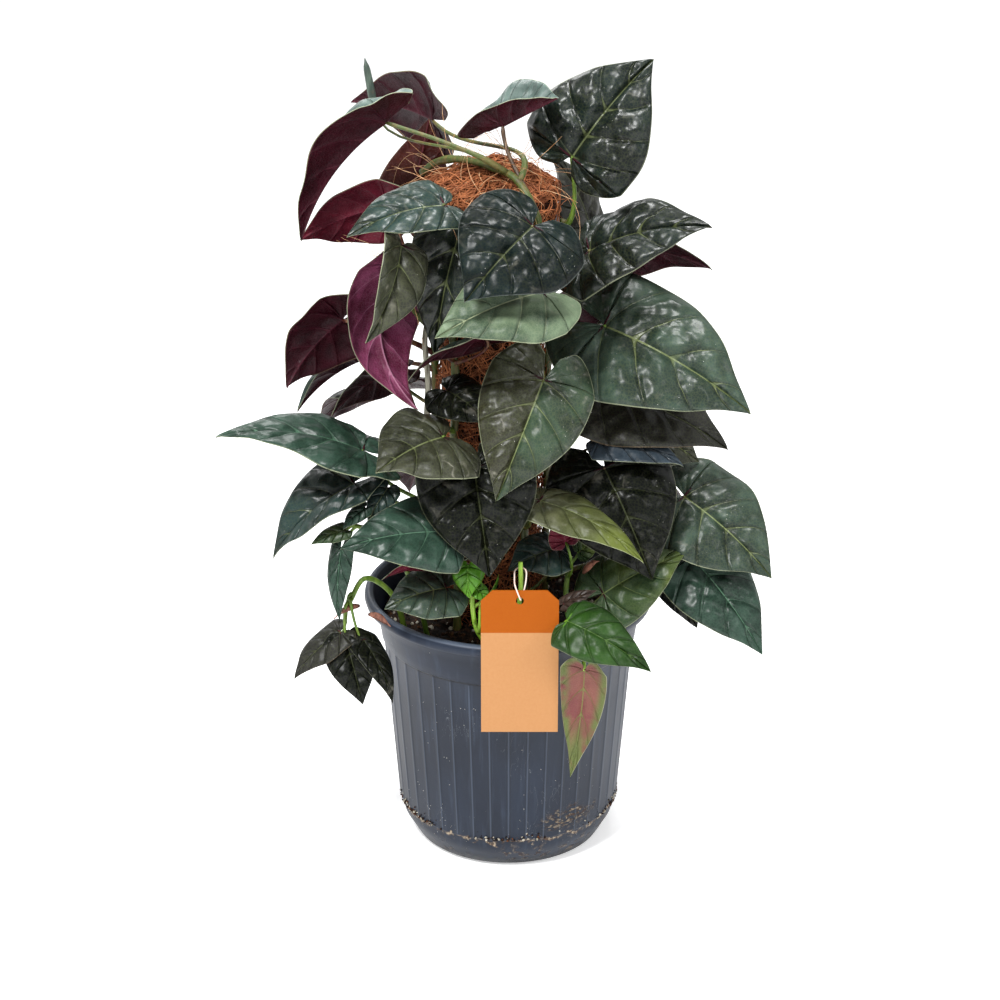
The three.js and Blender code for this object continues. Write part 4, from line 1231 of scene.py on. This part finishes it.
def make_fibres():
    paints = [
        fibre_paint("fibre_orange", "#9e603a", "#6c3a20"),
        fibre_paint("fibre_rust", "#603420", "#2e150b"),
        fibre_paint("fibre_tan", "#cca480", "#a47450"),
        fibre_paint("fibre_dark", "#281408", "#100603"),
    ]
    for name, (low, high, seed) in FIBRE_BANDS.items():
        dice = random.Random(seed)
        lines = []
        for i in range(FIBRES):
            lift = bowed(8 * dice.random() ** 1.8)
            if name == "coir_fibres_top" and i % 2:
                lines.append(heap_fibre(dice, *FIBRE_STEPS, lift))
            else:
                turn, z = dice.uniform(-math.pi, math.pi), dice.uniform(low, high)
                lines.append(fibre(dice, turn, z, *FIBRE_STEPS, lift))
        strands(name, lines, FIBRE_RADIUS, paints, dice)
    dice = random.Random(9)
    lines = []
    for _ in range(ENDS):
        lift = lifted(dice.uniform(4, 16))
        z = dice.choice((dice.uniform(0.2, 0.56), dice.uniform(0.53, 0.568)))
        lines.append(fibre(dice, dice.uniform(-math.pi, math.pi), z, *END_STEPS, lift))
    strands("coir_ends", lines, HAIR_RADIUS, paints, dice)


def wander(dice, start, heading, steps, stride, sag, wild):
    """A loose hair: it sets off and curls over under its own weight."""
    point, heading = Vector(start), Vector(heading).normalized()
    curl = any_way(dice) * wild
    line = [point]
    for _ in range(steps):
        jitter = Vector([dice.gauss(0, 0.06) for _ in range(3)])
        heading = (heading + curl * 0.22 + Vector((0, 0, -sag)) + jitter).normalized()
        point = point + heading * stride
        line.append(point)
    return line


def make_wisps():
    """The hairs that stand off the coir's top, and a tuft of them at its left side."""
    dice = random.Random(21)
    lines = []
    for _ in range(WISPS):
        turn = dice.uniform(-math.pi, math.pi)
        start = round_pole(turn, dice.uniform(0.005, 0.05), 0.566)
        heading = (math.cos(turn) * 0.7 + dice.gauss(0, 0.5), math.sin(turn) * 0.7 + dice.gauss(0, 0.5),
                   dice.uniform(0.2, 1.6))
        stride, sag = dice.uniform(0.002, 0.0042), dice.uniform(0.05, 0.14)
        lines.append(wander(dice, start, heading, 16, stride, sag, 0.9))
    for _ in range(TUFT):
        start = (-0.055, -0.02 + dice.gauss(0, 0.006), 0.5 + dice.gauss(0, 0.008))
        lines.append(wander(dice, start, (-1, dice.gauss(0, 0.3), 0.8), 24, 0.0036, 0.1, 0.8))
    pale = fibre_paint("wisp_pale", "#cfa982", "#a06a40")
    brown = fibre_paint("wisp_brown", "#9a5a30", "#5a2c14")
    strands("coir_wisps", lines, HAIR_RADIUS, [pale, brown], dice)


# Tag, scraps and core

# The loop's way from the tag's hole up round the front shoot and back, and its radius
LOOP = [
    (9, -122.6, 265.4), (7, -123.2, 271), (4.6, -121.4, 277.6), (4.3, -112, 281), (5, -104.5, 283),
    (9, -101.6, 284), (13, -104.5, 283), (13.4, -112, 279), (11.5, -118.2, 271), (9.4, -119.2, 265.4),
]
LOOP_RADIUS = 0.6
# A dead stem's stub against the coir, and where each dry sheath sits and which way it points
STUB = [(-66, -22, 372), (-64, -26, 410), (-66, -27, 448), (-62, -26, 470)]
SHEATHS = (
    ((46, -86, 238), (26, -20, 14)), ((-120, -70, 236), (-20, -12, -6)),
    ((-112, -78, 232), (18, -14, -4)), ((-30, -96, 262), (-9, -4, 12)), ((60, -64, 262), (12, -8, 14)),
)

def make_tag():
    repaint("tag", tag_paint())
    bm = bmesh.new()
    ring = [p * MM for p in curve_through([*LOOP, LOOP[0]], 8)]
    tube(bm, ring, lambda s: LOOP_RADIUS * MM)
    put("tag_thread", bm, [loop_paint()], "tag_loop", ["tag_loop"])


def make_scraps():
    """The stub and the dry sheaths."""
    dice = random.Random(31)
    bm = leaf_mesh()
    tube(bm, [p * MM for p in curve_through(STUB, 6)], lambda s: (2.6 - 0.6 * s) * MM, 10)

    def husk(s):
        belly = math.sin(math.pi * min(1, s + 0.12))
        return MM * (0.5 + 2.6 * belly * (0.8 + 0.2 * dice.random()))

    for spot, way in SHEATHS:
        start, end = metres(spot), metres(spot) + metres(way)
        arch = Vector((0, 0, 0.003))
        line = [start.lerp(end, i / 8) + arch * math.sin(i / 8 * math.pi) for i in range(9)]
        tube(bm, line, husk, 8, 1)
    dry = stalk_paint("sheath_dry", "#8a5a48", "#5a3428", gloss=0.6)
    put("dry_scraps", bm, [wood_paint(), dry], "stem", ["stem_left"])


make_camera()
make_surroundings()
make_pot()
make_soil()
make_dirt()
repaint("pole_core", wood_paint())
make_coir_mat()
make_fibres()
make_wisps()
make_stems()
make_leaves()
make_spear()
make_scraps()
make_tag()
